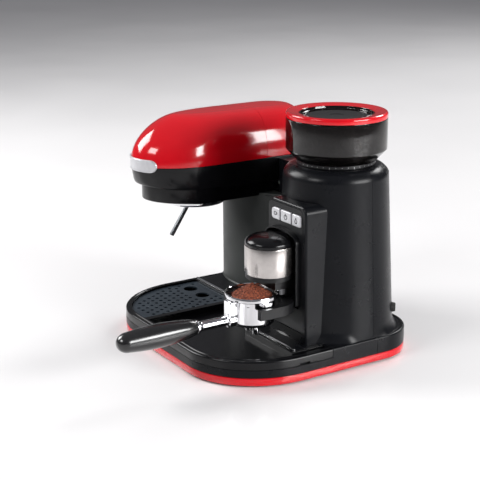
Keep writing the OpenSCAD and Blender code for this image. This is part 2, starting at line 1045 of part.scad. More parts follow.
module hoses_and_pipes() {
  color([0.8, 0.8, 0.8]) {
    pipe([[pump_x, pump_y, 46], [pump_x, pump_y, 42], [tank_x1 + 1, pump_y, 42]], 3);
    pipe([[pump_x, pump_y, 124], [pump_x, pump_y, 186], [pump_x, 84, 186], [-76, 84, 186],
      [feed_x, feed_y, 186], [feed_x, feed_y, 212], [-96, 6, 222]], 3);
    strut([wand_x, wand_y, 202.9], [wand_x, wand_y, 182], 2.4);
    strut([-149.5, 2, 214], [-144.6, -1.5, 215.8], 2.4);
  }
}

module steam_valve() {
  color([0.75, 0.6, 0.3])
    difference() {
      box(-171, -150, knob_y - 8, knob_y + 8, 203, 220);
      rod_x(-172, -158, knob_y, knob_z, 3.05);
    }
}

module steam_knob() {
  color(black) {
    difference() {
      rod_x(-194, -181, knob_y, knob_z, 12.5);
      for (i = [0:11])
        translate([0, knob_y, knob_z])
          rotate([i * 30, 0, 0])
            rod_x(-195, -180, 13.5, 0, 2);
    }
    rod_x(-181, -160, knob_y, knob_z, 3);
  }
}

module steam_wand() {
  tip = [wand_x, -38.3, 106];
  top = [wand_x, wand_y, 176];
  color(rubber_grey)
    difference() {
      union() {
        strut(top, tip, wand_r);
        translate(top)
          sphere(r = 5);
      }
      strut(tip + [0, -0.6, -0.9], tip + [0, 10, 14.6], 1.8);
    }
}

module circuit_boards() {
  color([0.1, 0.35, 0.2]) {
    box(64, 134, -9.4, -7.8, button_z0 - 3, button_z0 + button_h + 3);
    box(-30, 22, 132, 133.6, 128, 196);
  }
  color(rubber_grey) {
    for (i = [0:2])
      translate([button_xs[i] + button_ws[i] / 2, 0, button_z0 + button_h / 2])
        box(-3, 3, -12.1, -9.4, -3, 3);
    box(-24, -8, 122, 132, 136, 150);
    rod_y(8, 116, 132, 176, 8);
  }
}

// ---- grinder drive ----

module grinder_motor() {
  color(steel_grey)
    difference() {
      union() {
        rod(grinder_x, grinder_y + centre_dist, 46, motor_top_z - 4, 24);
        rod(grinder_x, grinder_y + centre_dist, motor_top_z - 4, motor_top_z, 8);
        rod(grinder_x, grinder_y + centre_dist, 40, 46, 9);
      }
      rod(grinder_x, grinder_y + centre_dist, 96, motor_top_z + 1, motor_shaft_r + run_gap);
    }
}

module grinding_chamber() {
  color([0.3, 0.3, 0.32])
    difference() {
      union() {
        rod(grinder_x, grinder_y, frame_z, frame_z + frame_t, 44);
        rod(grinder_x, grinder_y, chamber_z, 212, chamber_r);
        for (a = [45:90:315])
          rod(grinder_x + 37 * cos(a), grinder_y + 37 * sin(a), deck_z, chamber_z + 1, 3.5);
      }
      rod(grinder_x, grinder_y, chamber_z + 6, 213, chamber_r - 3);
      rod(grinder_x, grinder_y, frame_z - 1, chamber_z + 7, bearing_r);
      rod_y(grinder_x, 10, 40, 192, 7.2);
    }
}

module shaft_bearings() {
  color(steel_grey)
    for (z = [frame_z, chamber_z])
      tube(grinder_x, grinder_y, z, z + 6, bearing_r, shaft_r + run_gap);
}

module burr_shaft() {
  color(steel_grey)
    rod(grinder_x, grinder_y, gear_z - 4, 204, shaft_r);
}

module drive_gear() {
  color([0.9, 0.9, 0.85])
    translate([grinder_x, grinder_y, gear_z])
      difference() {
        linear_extrude(gear_t)
          rotate([0, 0, 90])
            gear_plan(gear_teeth, gear_module);
        translate([0, 0, -1])
          cylinder(h = gear_t + 2, r = shaft_r);
        for (a = [0:60:300])
          rotate([0, 0, a])
            translate([17, 0, -1])
              cylinder(h = gear_t + 2, r = 5.5);
      }
}

module motor_pinion() {
  color([0.75, 0.6, 0.3]) {
    translate([grinder_x, grinder_y + centre_dist, gear_z - 1])
      linear_extrude(gear_t + 2)
        rotate([0, 0, 90 + 180 / pinion_teeth])
          gear_plan(pinion_teeth, gear_module);
    rod(grinder_x, grinder_y + centre_dist, 100, gear_z + 2, motor_shaft_r);
  }
}

module lower_burr() {
  color(steel_grey)
    translate([grinder_x, grinder_y, 0])
      difference() {
        rotate_extrude()
          polygon([[shaft_r, 188], [24, 188], [24, 192], [13, 206], [shaft_r, 206]]);
        for (a = [0:30:330])
          rotate([0, 0, a])
            translate([25, 0, 192])
              rotate([0, -38, 0])
                translate([0, 0, -2])
                  cylinder(h = 22, r = 1.6, $fn = 16);
      }
}

module upper_burr() {
  color(steel_grey)
    translate([grinder_x, grinder_y, 0])
      difference() {
        rotate_extrude()
          polygon([[26, 190], [32, 190], [32, 208], [15.6, 208], [15.6, 206.5], [25.6, 192.4]]);
        for (a = [0:20:340])
          rotate([0, 0, a])
            translate([32, 0, 189])
              cylinder(h = 5, r = 1.2, $fn = 16);
      }
}

// ---- hopper ----

module adjust_collar() {
  color(black)
    difference() {
      union() {
        rod(grinder_x, grinder_y, collar_z, bowl_z0, bowl_r0 - 0.6);
        rod(grinder_x, grinder_y, 208, collar_z + 1, 34);
      }
      rod(grinder_x, grinder_y, 207, bowl_z0 + 1, 21);
      for (a = [0:7.5:352.5])
        translate([grinder_x, grinder_y, 0])
          rotate([0, 0, a])
            rod(bowl_r0 - 0.4, 0, collar_z - 1, bowl_z0 + 1, 0.7);
    }
}

module hopper_bowl() {
  color([0.2, 0.2, 0.22, 0.5])
    translate([grinder_x, grinder_y, 0])
      rotate_extrude($fn = 96)
        polygon([
          [17, bowl_z0 - 6], [20.6, bowl_z0 - 6], [20.6, bowl_z0], [bowl_r0, bowl_z0],
          [hopper_r - 0.3, bowl_z1], [hopper_r, bowl_z1 + 1], [hopper_r, lid_z0 - 0.3],
          [hopper_r - hopper_t, lid_z0 - 0.3], [hopper_r - hopper_t, bowl_z1 + 3],
          [bowl_r0 - 2, bowl_z0 + 6], [17, bowl_z0 + 2]
        ]);
}

module coffee_beans() {
  color([0.25, 0.13, 0.07])
    translate([grinder_x, grinder_y, 0])
      rotate_extrude($fn = 96)
        polygon([
          [0, bowl_z0 - 4], [16.6, bowl_z0 - 4], [16.6, bowl_z0 + 2.4],
          [bowl_r0 - 2.4, bowl_z0 + 6.5], [hopper_r - hopper_t - 0.5, bowl_z1 + 3.4],
          [hopper_r - hopper_t - 0.5, 292], [0, 296]
        ]);
}

module hopper_lid_ring() {
  color(glossy_red)
    translate([grinder_x, grinder_y, 0])
      rotate_extrude($fn = 96)
        polygon(concat(
          [[lid_hole_r, lid_z0 + 1], [lid_hole_r + 4, lid_z0 + 1], [lid_hole_r + 4, lid_z0 - 5],
            [hopper_r - hopper_t - 0.6, lid_z0 - 5], [hopper_r - hopper_t - 0.6, lid_z0],
            [hopper_r, lid_z0]],
          arc_pts(hopper_r - 2.5, lid_top_z - 2.5, 2.5, 2.5, 0, 90, 5),
          [[lid_hole_r + 3, lid_top_z - 0.4], [lid_hole_r, lid_top_z - 3]]
        ));
}

module hopper_lid_window() {
  color([0.15, 0.12, 0.1, 0.6])
    difference() {
      rod(grinder_x, grinder_y, lid_z0 - 1.2, lid_z0 + 1, lid_hole_r + 3.8);
      rod(grinder_x, grinder_y, lid_z0 + 0.4, lid_z0 + 2, 8);
    }
}

// ---- drip tray ----

module drip_tray() {
  floor_z = tray_z + tray_floor_t;
  color(black)
    difference() {
      slab(tray_z, deck_z)
        intersection() {
          base_plan(0);
          tray_zone(-joint_gap);
        }
      slab(floor_z, deck_z + 1)
        intersection() {
          base_plan(tray_rim_w);
          tray_zone(-joint_gap - 4);
          translate([grate_x1 + ridge_w, -200])
            square([400, 400]);
        }
      slab(floor_z, deck_z + 1)
        intersection() {
          base_plan(tray_rim_w);
          translate([grate_x0 - 20, -200])
            square([grate_x1 - grate_x0 + 20 - 2, 200 - 2]);
        }
      slab(grate_z - 0.2, deck_z + 1)
        intersection() {
          base_plan(tray_rim_w - 3);
          translate([grate_x0 - 20, -200])
            square([grate_x1 - grate_x0 + 20.6, 200.6]);
        }
      for (s = [-1, 1])
        translate([s * base_w / 2, 0, 0])
          box(-4, 4, finger_y0, finger_y1, tray_z - 1, tray_z + 3);
    }
}

// Point at arc length d along a loop of radius r round the two large holes.
function loop_point(d, r) =
  let (run = hole_x1 - hole_x0, a = PI * r)
    d < run ? [hole_x0 + d, hole_y - r] :
    d < run + a ? let (t = 180 * (d - run) / a)
      [hole_x1 + r * sin(t), hole_y - r * cos(t)] :
    d < 2 * run + a ? [hole_x1 - (d - run - a), hole_y + r] :
    let (t = 180 * (d - 2 * run - a) / a)
      [hole_x0 - r * sin(t), hole_y + r * cos(t)];

// True where a small hole keeps clear of the grate's edges.
function in_grate(p) =
  let (u = min(0, p.x + base_w / 2 - front_corner_x) / (front_corner_x - 15),
    v = min(0, p.y + base_d / 2 - front_corner_y) / (front_corner_y - 15))
    p.x < grate_x1 - 5 && p.y < -5 && u * u + v * v < 1;

drain_spots = [
  for (k = [0:8])
    let (r = 20 + 10 * k, n = floor((2 * (hole_x1 - hole_x0) + 2 * PI * r) / hole_pitch))
      for (i = [0:n - 1])
        let (p = loop_point((i + 0.5 * (k % 2)) * (2 * (hole_x1 - hole_x0) + 2 * PI * r) / n, r))
          if (in_grate(p)) p
];

module tray_grate() {
  color([0.35, 0.4, 0.45])
    difference() {
      slab(grate_z, grate_z + grate_t)
        intersection() {
          base_plan(tray_rim_w - 2.4);
          translate([grate_x0 - 20, -200])
            square([grate_x1 - grate_x0 + 20, 200]);
        }
      for (x = [hole_x0, hole_x1])
        rod(x, hole_y, grate_z - 1, grate_z + 4, 10);
      for (p = drain_spots)
        rod(p.x, p.y, grate_z - 1, grate_z + 4, 2.5);
    }
}

base_skirt();
base_shell();
bottom_plate();
feet();
base_screws();
deck_trims();
brew_column();
rear_housing();
grinder_front_shell();
grinder_rear_shell();
control_panel();
portafilter_fork();
outlet_arm();
grounds_chute();
head_base();
head_skirt();
head_cover();
badge_plate();
group_head();
locking_ring();
group_gasket();
shower_screen();
boiler();
pump();
hoses_and_pipes();
steam_valve();
circuit_boards();
grinder_motor();
grinding_chamber();
shaft_bearings();
cable_gland();
drip_tray();
tray_grate();
portafilter_cup();
filter_basket();
ground_coffee();
pour_spout();
handle_ferrule();
portafilter_handle();
tamper_base();
tamper_knob();
cup_button();
power_button();
steam_button();
grind_switch();
steam_wand();
steam_knob();
water_tank();
fill_lid();
hopper_bowl();
adjust_collar();
upper_burr();
coffee_beans();
hopper_lid_ring();
hopper_lid_window();
lower_burr();
burr_shaft();
drive_gear();
motor_pinion();
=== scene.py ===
import json
import math
import random
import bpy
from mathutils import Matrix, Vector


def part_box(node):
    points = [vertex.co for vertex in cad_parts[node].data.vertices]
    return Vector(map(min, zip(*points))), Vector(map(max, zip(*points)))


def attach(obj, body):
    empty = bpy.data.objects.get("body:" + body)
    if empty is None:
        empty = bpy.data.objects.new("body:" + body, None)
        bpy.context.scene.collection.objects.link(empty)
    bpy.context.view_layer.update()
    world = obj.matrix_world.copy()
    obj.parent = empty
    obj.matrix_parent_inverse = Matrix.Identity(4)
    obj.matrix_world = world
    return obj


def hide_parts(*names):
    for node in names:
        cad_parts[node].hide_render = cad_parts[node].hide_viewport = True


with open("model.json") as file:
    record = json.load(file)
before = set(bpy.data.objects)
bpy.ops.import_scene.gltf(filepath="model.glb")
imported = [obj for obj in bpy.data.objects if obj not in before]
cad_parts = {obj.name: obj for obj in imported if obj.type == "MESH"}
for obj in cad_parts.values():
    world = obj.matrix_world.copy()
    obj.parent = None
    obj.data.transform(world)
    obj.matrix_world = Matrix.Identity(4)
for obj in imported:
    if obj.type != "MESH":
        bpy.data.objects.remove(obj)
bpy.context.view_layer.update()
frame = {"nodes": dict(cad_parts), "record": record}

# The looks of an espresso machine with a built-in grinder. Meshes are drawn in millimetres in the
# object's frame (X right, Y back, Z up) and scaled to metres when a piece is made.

from types import SimpleNamespace

import bmesh
import bpy
from mathutils import Matrix, Vector, geometry, noise

MM = 0.001
SLOT_OF = {s["node"]: s["material_slot"] for s in frame["record"]["subparts"]}
BODY_OF = {n: b for b, names in frame["record"]["behaviour"]["bodies"].items() for n in names}


def extent(node):
    """A CAD node's box in millimetres, with its centre."""
    low, high = (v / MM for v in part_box(node))
    return SimpleNamespace(
        x0=low.x, y0=low.y, z0=low.z, x1=high.x, y1=high.y, z1=high.z,
        cx=(low.x + high.x) / 2, cy=(low.y + high.y) / 2, cz=(low.z + high.z) / 2,
    )


def added(name, data):
    """A new object in the scene."""
    made = bpy.data.objects.new(name, data)
    bpy.context.scene.collection.objects.link(made)
    return made


# ---- camera ----

CAMERA_PLACE = Vector((1.2532, -0.8129, 0.5690))
CAMERA_TARGET = Vector((-0.0087, -0.0190, 0.1328))
CAMERA_ROLL = math.radians(-0.34)
CAMERA_LENS = 88.7
SENSOR_WIDTH = 36
CLIP_END = 20


def make_camera():
    data = bpy.data.cameras.new("camera")
    data.lens = CAMERA_LENS
    data.sensor_width = SENSOR_WIDTH
    data.clip_end = CLIP_END
    camera = added("camera", data)
    back = (CAMERA_PLACE - CAMERA_TARGET).normalized()
    right = Vector((0, 0, 1)).cross(back).normalized()
    up = back.cross(right)
    turned_right = right * math.cos(CAMERA_ROLL) + up * math.sin(CAMERA_ROLL)
    turned_up = up * math.cos(CAMERA_ROLL) - right * math.sin(CAMERA_ROLL)
    matrix = Matrix((turned_right, turned_up, back)).transposed().to_4x4()
    matrix.translation = CAMERA_PLACE
    camera.matrix_world = matrix
    bpy.context.scene.camera = camera


# ---- outlines ----

def arc(cx, cy, rx, ry, start, end, steps):
    """Points along an ellipse's arc, angles in degrees."""
    angles = [math.radians(start + (end - start) * i / steps) for i in range(steps + 1)]
    return [(cx + rx * math.cos(a), cy + ry * math.sin(a)) for a in angles]


def rounded(points, radius, steps=5):
    """The polygon with its corners turned into arcs; radius is one number or one for each corner."""
    radii = radius if isinstance(radius, (list, tuple)) else [radius] * len(points)
    out = []
    for i, corner in enumerate(points):
        if radii[i] <= 0:
            out.append(tuple(corner))
            continue
        corner = Vector(corner)
        before = Vector(points[i - 1]) - corner
        after = Vector(points[(i + 1) % len(points)]) - corner
        half = before.angle(after) / 2
        reach = min(radii[i] / math.tan(half), before.length * 0.49, after.length * 0.49)
        centre = corner + (before.normalized() + after.normalized()).normalized() * reach / math.cos(half)
        first = corner + before.normalized() * reach - centre
        last = corner + after.normalized() * reach - centre
        sweep = math.atan2(first.x * last.y - first.y * last.x, first.dot(last))
        for k in range(steps + 1):
            turned = Matrix.Rotation(sweep * k / steps, 2) @ first
            out.append(tuple(centre + turned))
    return out


def rectangle(x0, x1, y0, y1, inset, radius, steps):
    """A rectangle drawn in by the inset, its corners rounded."""
    x0, x1, y0, y1 = x0 + inset, x1 - inset, y0 + inset, y1 - inset
    return rounded([(x0, y0), (x1, y0), (x1, y1), (x0, y1)], radius, steps)


# ---- mesh builders ----

def loft(rings, loop=False):
    """Solid through rings of the same number of points, capped at both ends unless it is a loop."""
    bm = bmesh.new()
    rows = [[bm.verts.new(p) for p in ring] for ring in rings]
    for a, b in zip(rows, rows[1:] + (rows[:1] if loop else [])):
        for i in range(len(a)):
            bm.faces.new((a[i - 1], a[i], b[i], b[i - 1]))
    if not loop:
        bm.faces.new(rows[0][::-1])
        bm.faces.new(rows[-1])
    bmesh.ops.recalc_face_normals(bm, faces=bm.faces)
    return bm


def stack(outline, profile, upright=False, loop=False):
    """Loft of outline(inset) at each (inset, level); upright outlines lie in X and Z, levels along Y."""
    if upright:
        rings = [[(u, level, v) for u, v in outline(inset)] for inset, level in profile]
    else:
        rings = [[(u, v, level) for u, v in outline(inset)] for inset, level in profile]
    return loft(rings, loop)


def lathe(profile, centre=(0, 0, 0), axis="Z", steps=96, loop=False):
    """Solid of revolution of (radius, level) points about Z, or about a line towards -Y or -X."""
    bm = bmesh.new()
    rows = []
    for radius, level in profile:
        count = steps if radius > 1e-6 else 1
        turns = [2 * math.pi * k / steps for k in range(count)]
        rows.append([bm.verts.new((radius * math.cos(t), radius * math.sin(t), level)) for t in turns])
    for a, b in zip(rows, rows[1:] + (rows[:1] if loop else [])):
        for k in range(steps):
            corners = [a[k % len(a)], a[(k + 1) % steps % len(a)], b[(k + 1) % steps % len(b)], b[k % len(b)]]
            unique = list(dict.fromkeys(corners))
            if len(unique) > 2:
                bm.faces.new(unique)
    turn = {"Z": Matrix(), "-Y": Matrix.Rotation(math.pi / 2, 4, "X"),
            "-X": Matrix.Rotation(-math.pi / 2, 4, "Y")}
    bm.transform(Matrix.Translation(centre) @ turn[axis])
    bmesh.ops.recalc_face_normals(bm, faces=bm.faces)
    return bm


def block(x0, x1, y0, y1, z0, z1):
    return stack(lambda inset: [(x0, y0), (x1, y0), (x1, y1), (x0, y1)], [(0, z0), (0, z1)])


def rod(r, low, high, centre=(0, 0, 0), axis="Z", steps=96):
    """A plain cylinder, for bores and pins."""
    return lathe([(0, low), (r, low), (r, high), (0, high)], centre, axis, steps)


def prism(points, low, high, upright=False):
    return stack(lambda inset: points, [(0, low), (0, high)], upright)


def sweep(path, radius, sides=24):
    """Round rod along a path; radius is a number or a function of the share of the way."""
    rings = []
    side = (path[1] - path[0]).orthogonal().normalized()
    for i, p in enumerate(path):
        along = (path[min(i + 1, len(path) - 1)] - path[max(i - 1, 0)]).normalized()
        side = (side - along * side.dot(along)).normalized()
        other = along.cross(side)
        r = radius(i / (len(path) - 1)) if callable(radius) else radius
        turns = [2 * math.pi * k / sides for k in range(sides)]
        rings.append([p + r * (side * math.cos(t) + other * math.sin(t)) for t in turns])
    return loft(rings)


def cleaned(bm):
    """Merges doubled points and faces that lie in one plane."""
    bmesh.ops.remove_doubles(bm, verts=bm.verts, dist=0.01)
    bmesh.ops.dissolve_limit(bm, angle_limit=math.radians(0.5), verts=bm.verts, edges=bm.edges)
    return bm


def combine(base, tools, operation):
    """Boolean of one mesh with several others."""
    bodies = []
    for bm in [base, *tools]:
        mesh = bpy.data.meshes.new("scratch")
        bm.to_mesh(mesh)
        bm.free()
        bodies.append(added("scratch", mesh))
    for tool in bodies[1:]:
        modifier = bodies[0].modifiers.new("boolean", "BOOLEAN")
        modifier.operation = operation
        modifier.solver = "EXACT"
        modifier.object = tool
    evaluated = bodies[0].evaluated_get(bpy.context.evaluated_depsgraph_get())
    result = bmesh.new()
    result.from_mesh(evaluated.to_mesh())
    evaluated.to_mesh_clear()
    for body in bodies:
        mesh = body.data
        bpy.data.objects.remove(body)
        bpy.data.meshes.remove(mesh)
    return cleaned(result)


def cut(base, *tools):
    return combine(base, tools, "DIFFERENCE")


def fuse(base, *tools):
    return combine(base, tools, "UNION")


def common(base, *tools):
    return combine(base, tools, "INTERSECT")


def joined(*parts):
    """Several meshes as one, without cutting them."""
    out = bmesh.new()
    for part in parts:
        mesh = bpy.data.meshes.new("scratch")
        part.to_mesh(mesh)
        part.free()
        out.from_mesh(mesh)
        bpy.data.meshes.remove(mesh)
    return out


def round_edges(bm, width, segments=2, angle=35, chosen=lambda edge: True):
    """Rounds the edges sharper than the angle."""
    sharp = [e for e in bm.edges if len(e.link_faces) == 2
             and e.calc_face_angle() > math.radians(angle) and chosen(e)]
    bmesh.ops.bevel(bm, geom=sharp, offset=width, segments=segments, profile=0.5,
                    affect="EDGES", clamp_overlap=True)
    return bm


def refined(node, width, segments=2):
    """A CAD node's own solid with its edges rounded."""
    bm = bmesh.new()
    bm.from_mesh(frame["nodes"][node].data)
    bm.transform(Matrix.Scale(1 / MM, 4))
    return round_edges(cleaned(bm), width, segments)


def piece(name, bm, node, slot=None, replaces=True, smooth=35, origin=(0, 0, 0), weighted=False):
    """Makes the object, on the body and with the material slot of the CAD node it belongs to."""
    bmesh.ops.recalc_face_normals(bm, faces=bm.faces)
    bm.transform(Matrix.Scale(MM, 4) @ Matrix.Translation(-Vector(origin)))
    mesh = bpy.data.meshes.new(name)
    bm.to_mesh(mesh)
    bm.free()
    mesh.polygons.foreach_set("use_smooth", [True] * len(mesh.polygons))
    mesh.set_sharp_from_angle(angle=math.radians(smooth))
    slot = slot or SLOT_OF[node]
    mesh.materials.append(MATERIALS[slot])
    made = added(name, mesh)
    made.location = Vector(origin) * MM
    if weighted:
        made.modifiers.new("normals", "WEIGHTED_NORMAL").keep_sharp = True
    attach(made, BODY_OF[node])
    if replaces:
        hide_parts(node)
    return made


# ---- materials ----

PATTERN_LOW = 0.3
PATTERN_HIGH = 0.7


class Look:
    """A Principled material whose patterns follow the piece's own coordinates, in millimetres."""

    def __init__(self, name, color, roughness, **settings):
        self.material = bpy.data.materials.new(name)
        self.material.use_nodes = True
        self.tree = self.material.node_tree
        self.shader = self.tree.nodes["Principled BSDF"]
        self.normal = None
        self.set("Base Color", (*color, 1))
        self.set("Roughness", roughness)
        for label, value in settings.items():
            self.set(label.replace("_", " "), value)

    def set(self, label, value):
        self.shader.inputs[label].default_value = value

    def add(self, kind, **inputs):
        node = self.tree.nodes.new(kind)
        for label, value in inputs.items():
            node.inputs[label.replace("_", " ")].default_value = value
        return node

    def coords(self, size, stretch=(1, 1, 1)):
        """Object coordinates scaled so that one unit is size millimetres."""
        place = self.add("ShaderNodeMapping")
        place.inputs["Scale"].default_value = [s / (size * MM) for s in stretch]
        source = self.add("ShaderNodeTexCoord")
        self.tree.links.new(source.outputs["Object"], place.inputs["Vector"])
        return place.outputs["Vector"]

    def noise(self, size, detail=4, stretch=(1, 1, 1), roughness=0.55):
        texture = self.add("ShaderNodeTexNoise", Scale=1, Detail=detail, Roughness=roughness)
        self.tree.links.new(self.coords(size, stretch), texture.inputs["Vector"])
        return texture.outputs["Fac"]

    def cells(self, size):
        texture = self.add("ShaderNodeTexVoronoi", Scale=1)
        self.tree.links.new(self.coords(size), texture.inputs["Vector"])
        return texture.outputs["Distance"]

    def spread(self, value, low, high):
        """The pattern's middle range mapped to low and high."""
        ranged = self.add("ShaderNodeMapRange", From_Min=PATTERN_LOW, From_Max=PATTERN_HIGH,
                          To_Min=low, To_Max=high)
        self.tree.links.new(value, ranged.inputs["Value"])
        return ranged.outputs["Result"]

    def rough(self, value, low, high):
        self.tree.links.new(self.spread(value, low, high), self.shader.inputs["Roughness"])
        return self

    def tint(self, value, *colors, near=PATTERN_LOW, far=PATTERN_HIGH):
        ramp = self.add("ShaderNodeValToRGB")
        stops = ramp.color_ramp.elements
        while len(stops) < len(colors):
            stops.new(0.5)
        for i, color in enumerate(colors):
            stops[i].position = near + (far - near) * i / (len(colors) - 1)
            stops[i].color = (*color, 1)
        self.tree.links.new(value, ramp.inputs["Fac"])
        self.tree.links.new(ramp.outputs["Color"], self.shader.inputs["Base Color"])
        return self

    def bump(self, value, depth, strength=1):
        """Adds relief, depth in millimetres, on top of what is there."""
        relief = self.add("ShaderNodeBump", Distance=depth * MM, Strength=strength)
        self.tree.links.new(value, relief.inputs["Height"])
        if self.normal:
            self.tree.links.new(self.normal, relief.inputs["Normal"])
        self.normal = relief.outputs["Normal"]
        self.tree.links.new(self.normal, self.shader.inputs["Normal"])
        return self


def moulding(name, color, lighter, roughness, grain, depth, **settings):
    """Moulded plastic: slight shade and gloss changes and a fine grain."""
    look = Look(name, color, roughness, **settings)
    look.tint(look.noise(60), color, lighter)
    look.rough(look.noise(25), roughness * 0.88, roughness * 1.15)
    look.bump(look.noise(grain, 2), depth)
    return look


def metal(name, color, darker, roughness, size, stretch, depth):
    """Metal with a grain stretched along its finish."""
    look = Look(name, color, roughness, Metallic=1)
    lines = look.noise(size, 3, stretch)
    look.tint(lines, darker, color)
    look.rough(lines, roughness * 0.8, roughness * 1.25)
    look.bump(lines, depth)
    return look


def red_gloss():
    look = Look("red_gloss", (0.52, 0.002, 0.008), 0.13, Coat_Weight=0.3, Coat_Roughness=0.02,
                Specular_IOR_Level=0.4)
    look.tint(look.noise(90, 2), (0.49, 0.0015, 0.007), (0.56, 0.0025, 0.009))
    look.rough(look.noise(40, 3), 0.1, 0.16)
    look.bump(look.noise(9, 2), 0.012, 0.6)
    return look


def chrome():
    look = Look("chrome", (0.74, 0.74, 0.76), 0.07, Metallic=1)
    look.rough(look.noise(14, 4), 0.05, 0.11)
    look.bump(look.noise(6, 2), 0.004, 0.5)
    return look


def silver_plate():
    look = Look("silver_plate", (0.50, 0.50, 0.52), 0.34, Metallic=0.35)
    look.tint(look.noise(6, 2), (0.48, 0.48, 0.50), (0.53, 0.53, 0.55))
    look.rough(look.noise(10, 3), 0.3, 0.4)
    look.bump(look.noise(1.5, 2), 0.0006, 0.6)
    return look


def brushed_steel():
    look = Look("brushed_steel", (0.50, 0.47, 0.455), 0.24, Metallic=1, Anisotropic=0.5)
    look.tint(look.noise(5, 3), (0.47, 0.44, 0.425), (0.53, 0.50, 0.485))
    look.rough(look.noise(30, 3), 0.21, 0.27)
    look.bump(look.noise(0.5, 2), 0.0006)
    return look


def grate_metal():
    look = Look("grate_metal", (0.060, 0.082, 0.105), 0.32, Metallic=0.7, Coat_Weight=0.25,
                Coat_Roughness=0.15)
    look.tint(look.noise(30, 4), (0.048, 0.066, 0.086), (0.080, 0.106, 0.132))
    look.rough(look.noise(6, 4), 0.26, 0.4)
    look.bump(look.noise(0.7, 2), 0.02)
    return look


def hose():
    look = Look("hose", (0.78, 0.78, 0.74), 0.45, Transmission_Weight=0.35, Subsurface_Weight=0.2)
    look.rough(look.noise(8), 0.38, 0.55)
    look.bump(look.noise(1.5, 2), 0.03)
    return look


def board():
    look = Look("board", (0.03, 0.13, 0.06), 0.4)
    look.tint(look.cells(2.2), (0.02, 0.09, 0.04), (0.04, 0.17, 0.08), near=0.2, far=0.5)
    look.rough(look.noise(4), 0.32, 0.5)
    look.bump(look.cells(1.8), 0.05)
    return look


def coffee():
    look = Look("coffee", (0.10, 0.03, 0.011), 0.85)
    look.tint(look.noise(1.4, 4, roughness=0.7), (0.015, 0.004, 0.002), (0.16, 0.030, 0.011),
              (0.42, 0.11, 0.045), near=0.40, far=0.62)
    look.bump(look.noise(0.8, 4), 0.5)
    return look


def beans():
    look = Look("beans", (0.05, 0.018, 0.008), 0.38, Coat_Weight=0.25, Coat_Roughness=0.3)
    look.tint(look.noise(7, 3), (0.028, 0.010, 0.005), (0.085, 0.030, 0.013))
    look.rough(look.noise(3), 0.3, 0.5)
    look.bump(look.noise(1.2, 3), 0.08)
    return look


def clear_tank():
    look = Look("clear_tank", (0.55, 0.60, 0.64), 0.12, Transmission_Weight=0.9, IOR=1.45)
    look.rough(look.noise(20, 3), 0.08, 0.18)
    look.bump(look.noise(5, 2), 0.02)
    return look


def smoked_clear():
    look = Look("smoked_clear", (0.055, 0.045, 0.042), 0.04, Transmission_Weight=0.95, IOR=1.46)
    look.rough(look.noise(18, 3), 0.025, 0.06)
    look.bump(look.noise(14, 2), 0.006)
    return look


# Moulded plastics: colour, lighter shade, roughness, grain and relief in millimetres, shader settings.
MOULDINGS = {
    "black_body": ((0.0030, 0.0033, 0.0044), (0.0050, 0.0054, 0.0068), 0.29, 0.5, 0.006,
                   {"Specular_IOR_Level": 0.15}),
    "gloss_black": ((0.0028, 0.0028, 0.0034), (0.0042, 0.0042, 0.0050), 0.2, 2.5, 0.002,
                    {"Specular_IOR_Level": 0.25}),
    "panel_black": ((0.0035, 0.0038, 0.0045), (0.0055, 0.0058, 0.0068), 0.34, 0.45, 0.008,
                    {"Specular_IOR_Level": 0.18}),
    "dark_plastic": ((0.004, 0.004, 0.0046), (0.0065, 0.0065, 0.0074), 0.36, 0.6, 0.012,
                     {"Specular_IOR_Level": 0.3}),
    "grey_face": ((0.020, 0.0225, 0.0212), (0.026, 0.029, 0.0274), 0.42, 0.5, 0.01,
                  {"Specular_IOR_Level": 0.3}),
    "rubber": ((0.010, 0.010, 0.010), (0.017, 0.0165, 0.016), 0.8, 0.8, 0.04,
               {}),
    "chamber_plastic": ((0.05, 0.05, 0.055), (0.075, 0.075, 0.08), 0.55, 0.8, 0.05,
                        {}),
    "white_plastic": ((0.62, 0.61, 0.54), (0.72, 0.71, 0.65), 0.42, 0.9, 0.02,
                      {"Subsurface_Weight": 0.15}),
    "handle_black": ((0.0045, 0.0045, 0.005), (0.007, 0.007, 0.0076), 0.24, 3.0, 0.006,
                     {"Coat_Weight": 0.4, "Coat_Roughness": 0.1}),
}

# Metals: colour, darker shade, roughness, grain in millimetres, its stretch, relief in millimetres.
METALS = {
    "steel_parts": ((0.52, 0.52, 0.53), (0.40, 0.40, 0.41), 0.32, 1.2, (0.2, 0.2, 1), 0.01),
    "burr_steel": ((0.42, 0.42, 0.43), (0.30, 0.30, 0.31), 0.36, 0.8, (1, 1, 0.3), 0.015),
    "aluminium_parts": ((0.66, 0.67, 0.69), (0.52, 0.53, 0.55), 0.45, 1.0, (1, 1, 1), 0.05),
    "brass_parts": ((0.72, 0.55, 0.24), (0.55, 0.40, 0.16), 0.3, 1.0, (0.3, 0.3, 1), 0.01),
    "dark_metal": ((0.16, 0.17, 0.18), (0.10, 0.105, 0.11), 0.3, 0.8, (1, 1, 0.15), 0.006),
}

MAKERS = [red_gloss, chrome, silver_plate, brushed_steel, grate_metal, hose, board, coffee, beans, clear_tank,
          smoked_clear]
LOOKS = {maker.__name__: maker() for maker in MAKERS}
LOOKS.update({name: moulding(name, *row, **settings) for name, (*row, settings) in MOULDINGS.items()})
LOOKS.update({name: metal(name, *row) for name, row in METALS.items()})
MATERIALS = {name: look.material for name, look in LOOKS.items()}


def dress_cad_nodes():
    """Every CAD node takes its slot's material, also where a finer piece stands for it."""
    for name, node in frame["nodes"].items():
        node.data.materials.clear()
        node.data.materials.append(MATERIALS[SLOT_OF[name]])


# ---- base, deck and drip tray ----

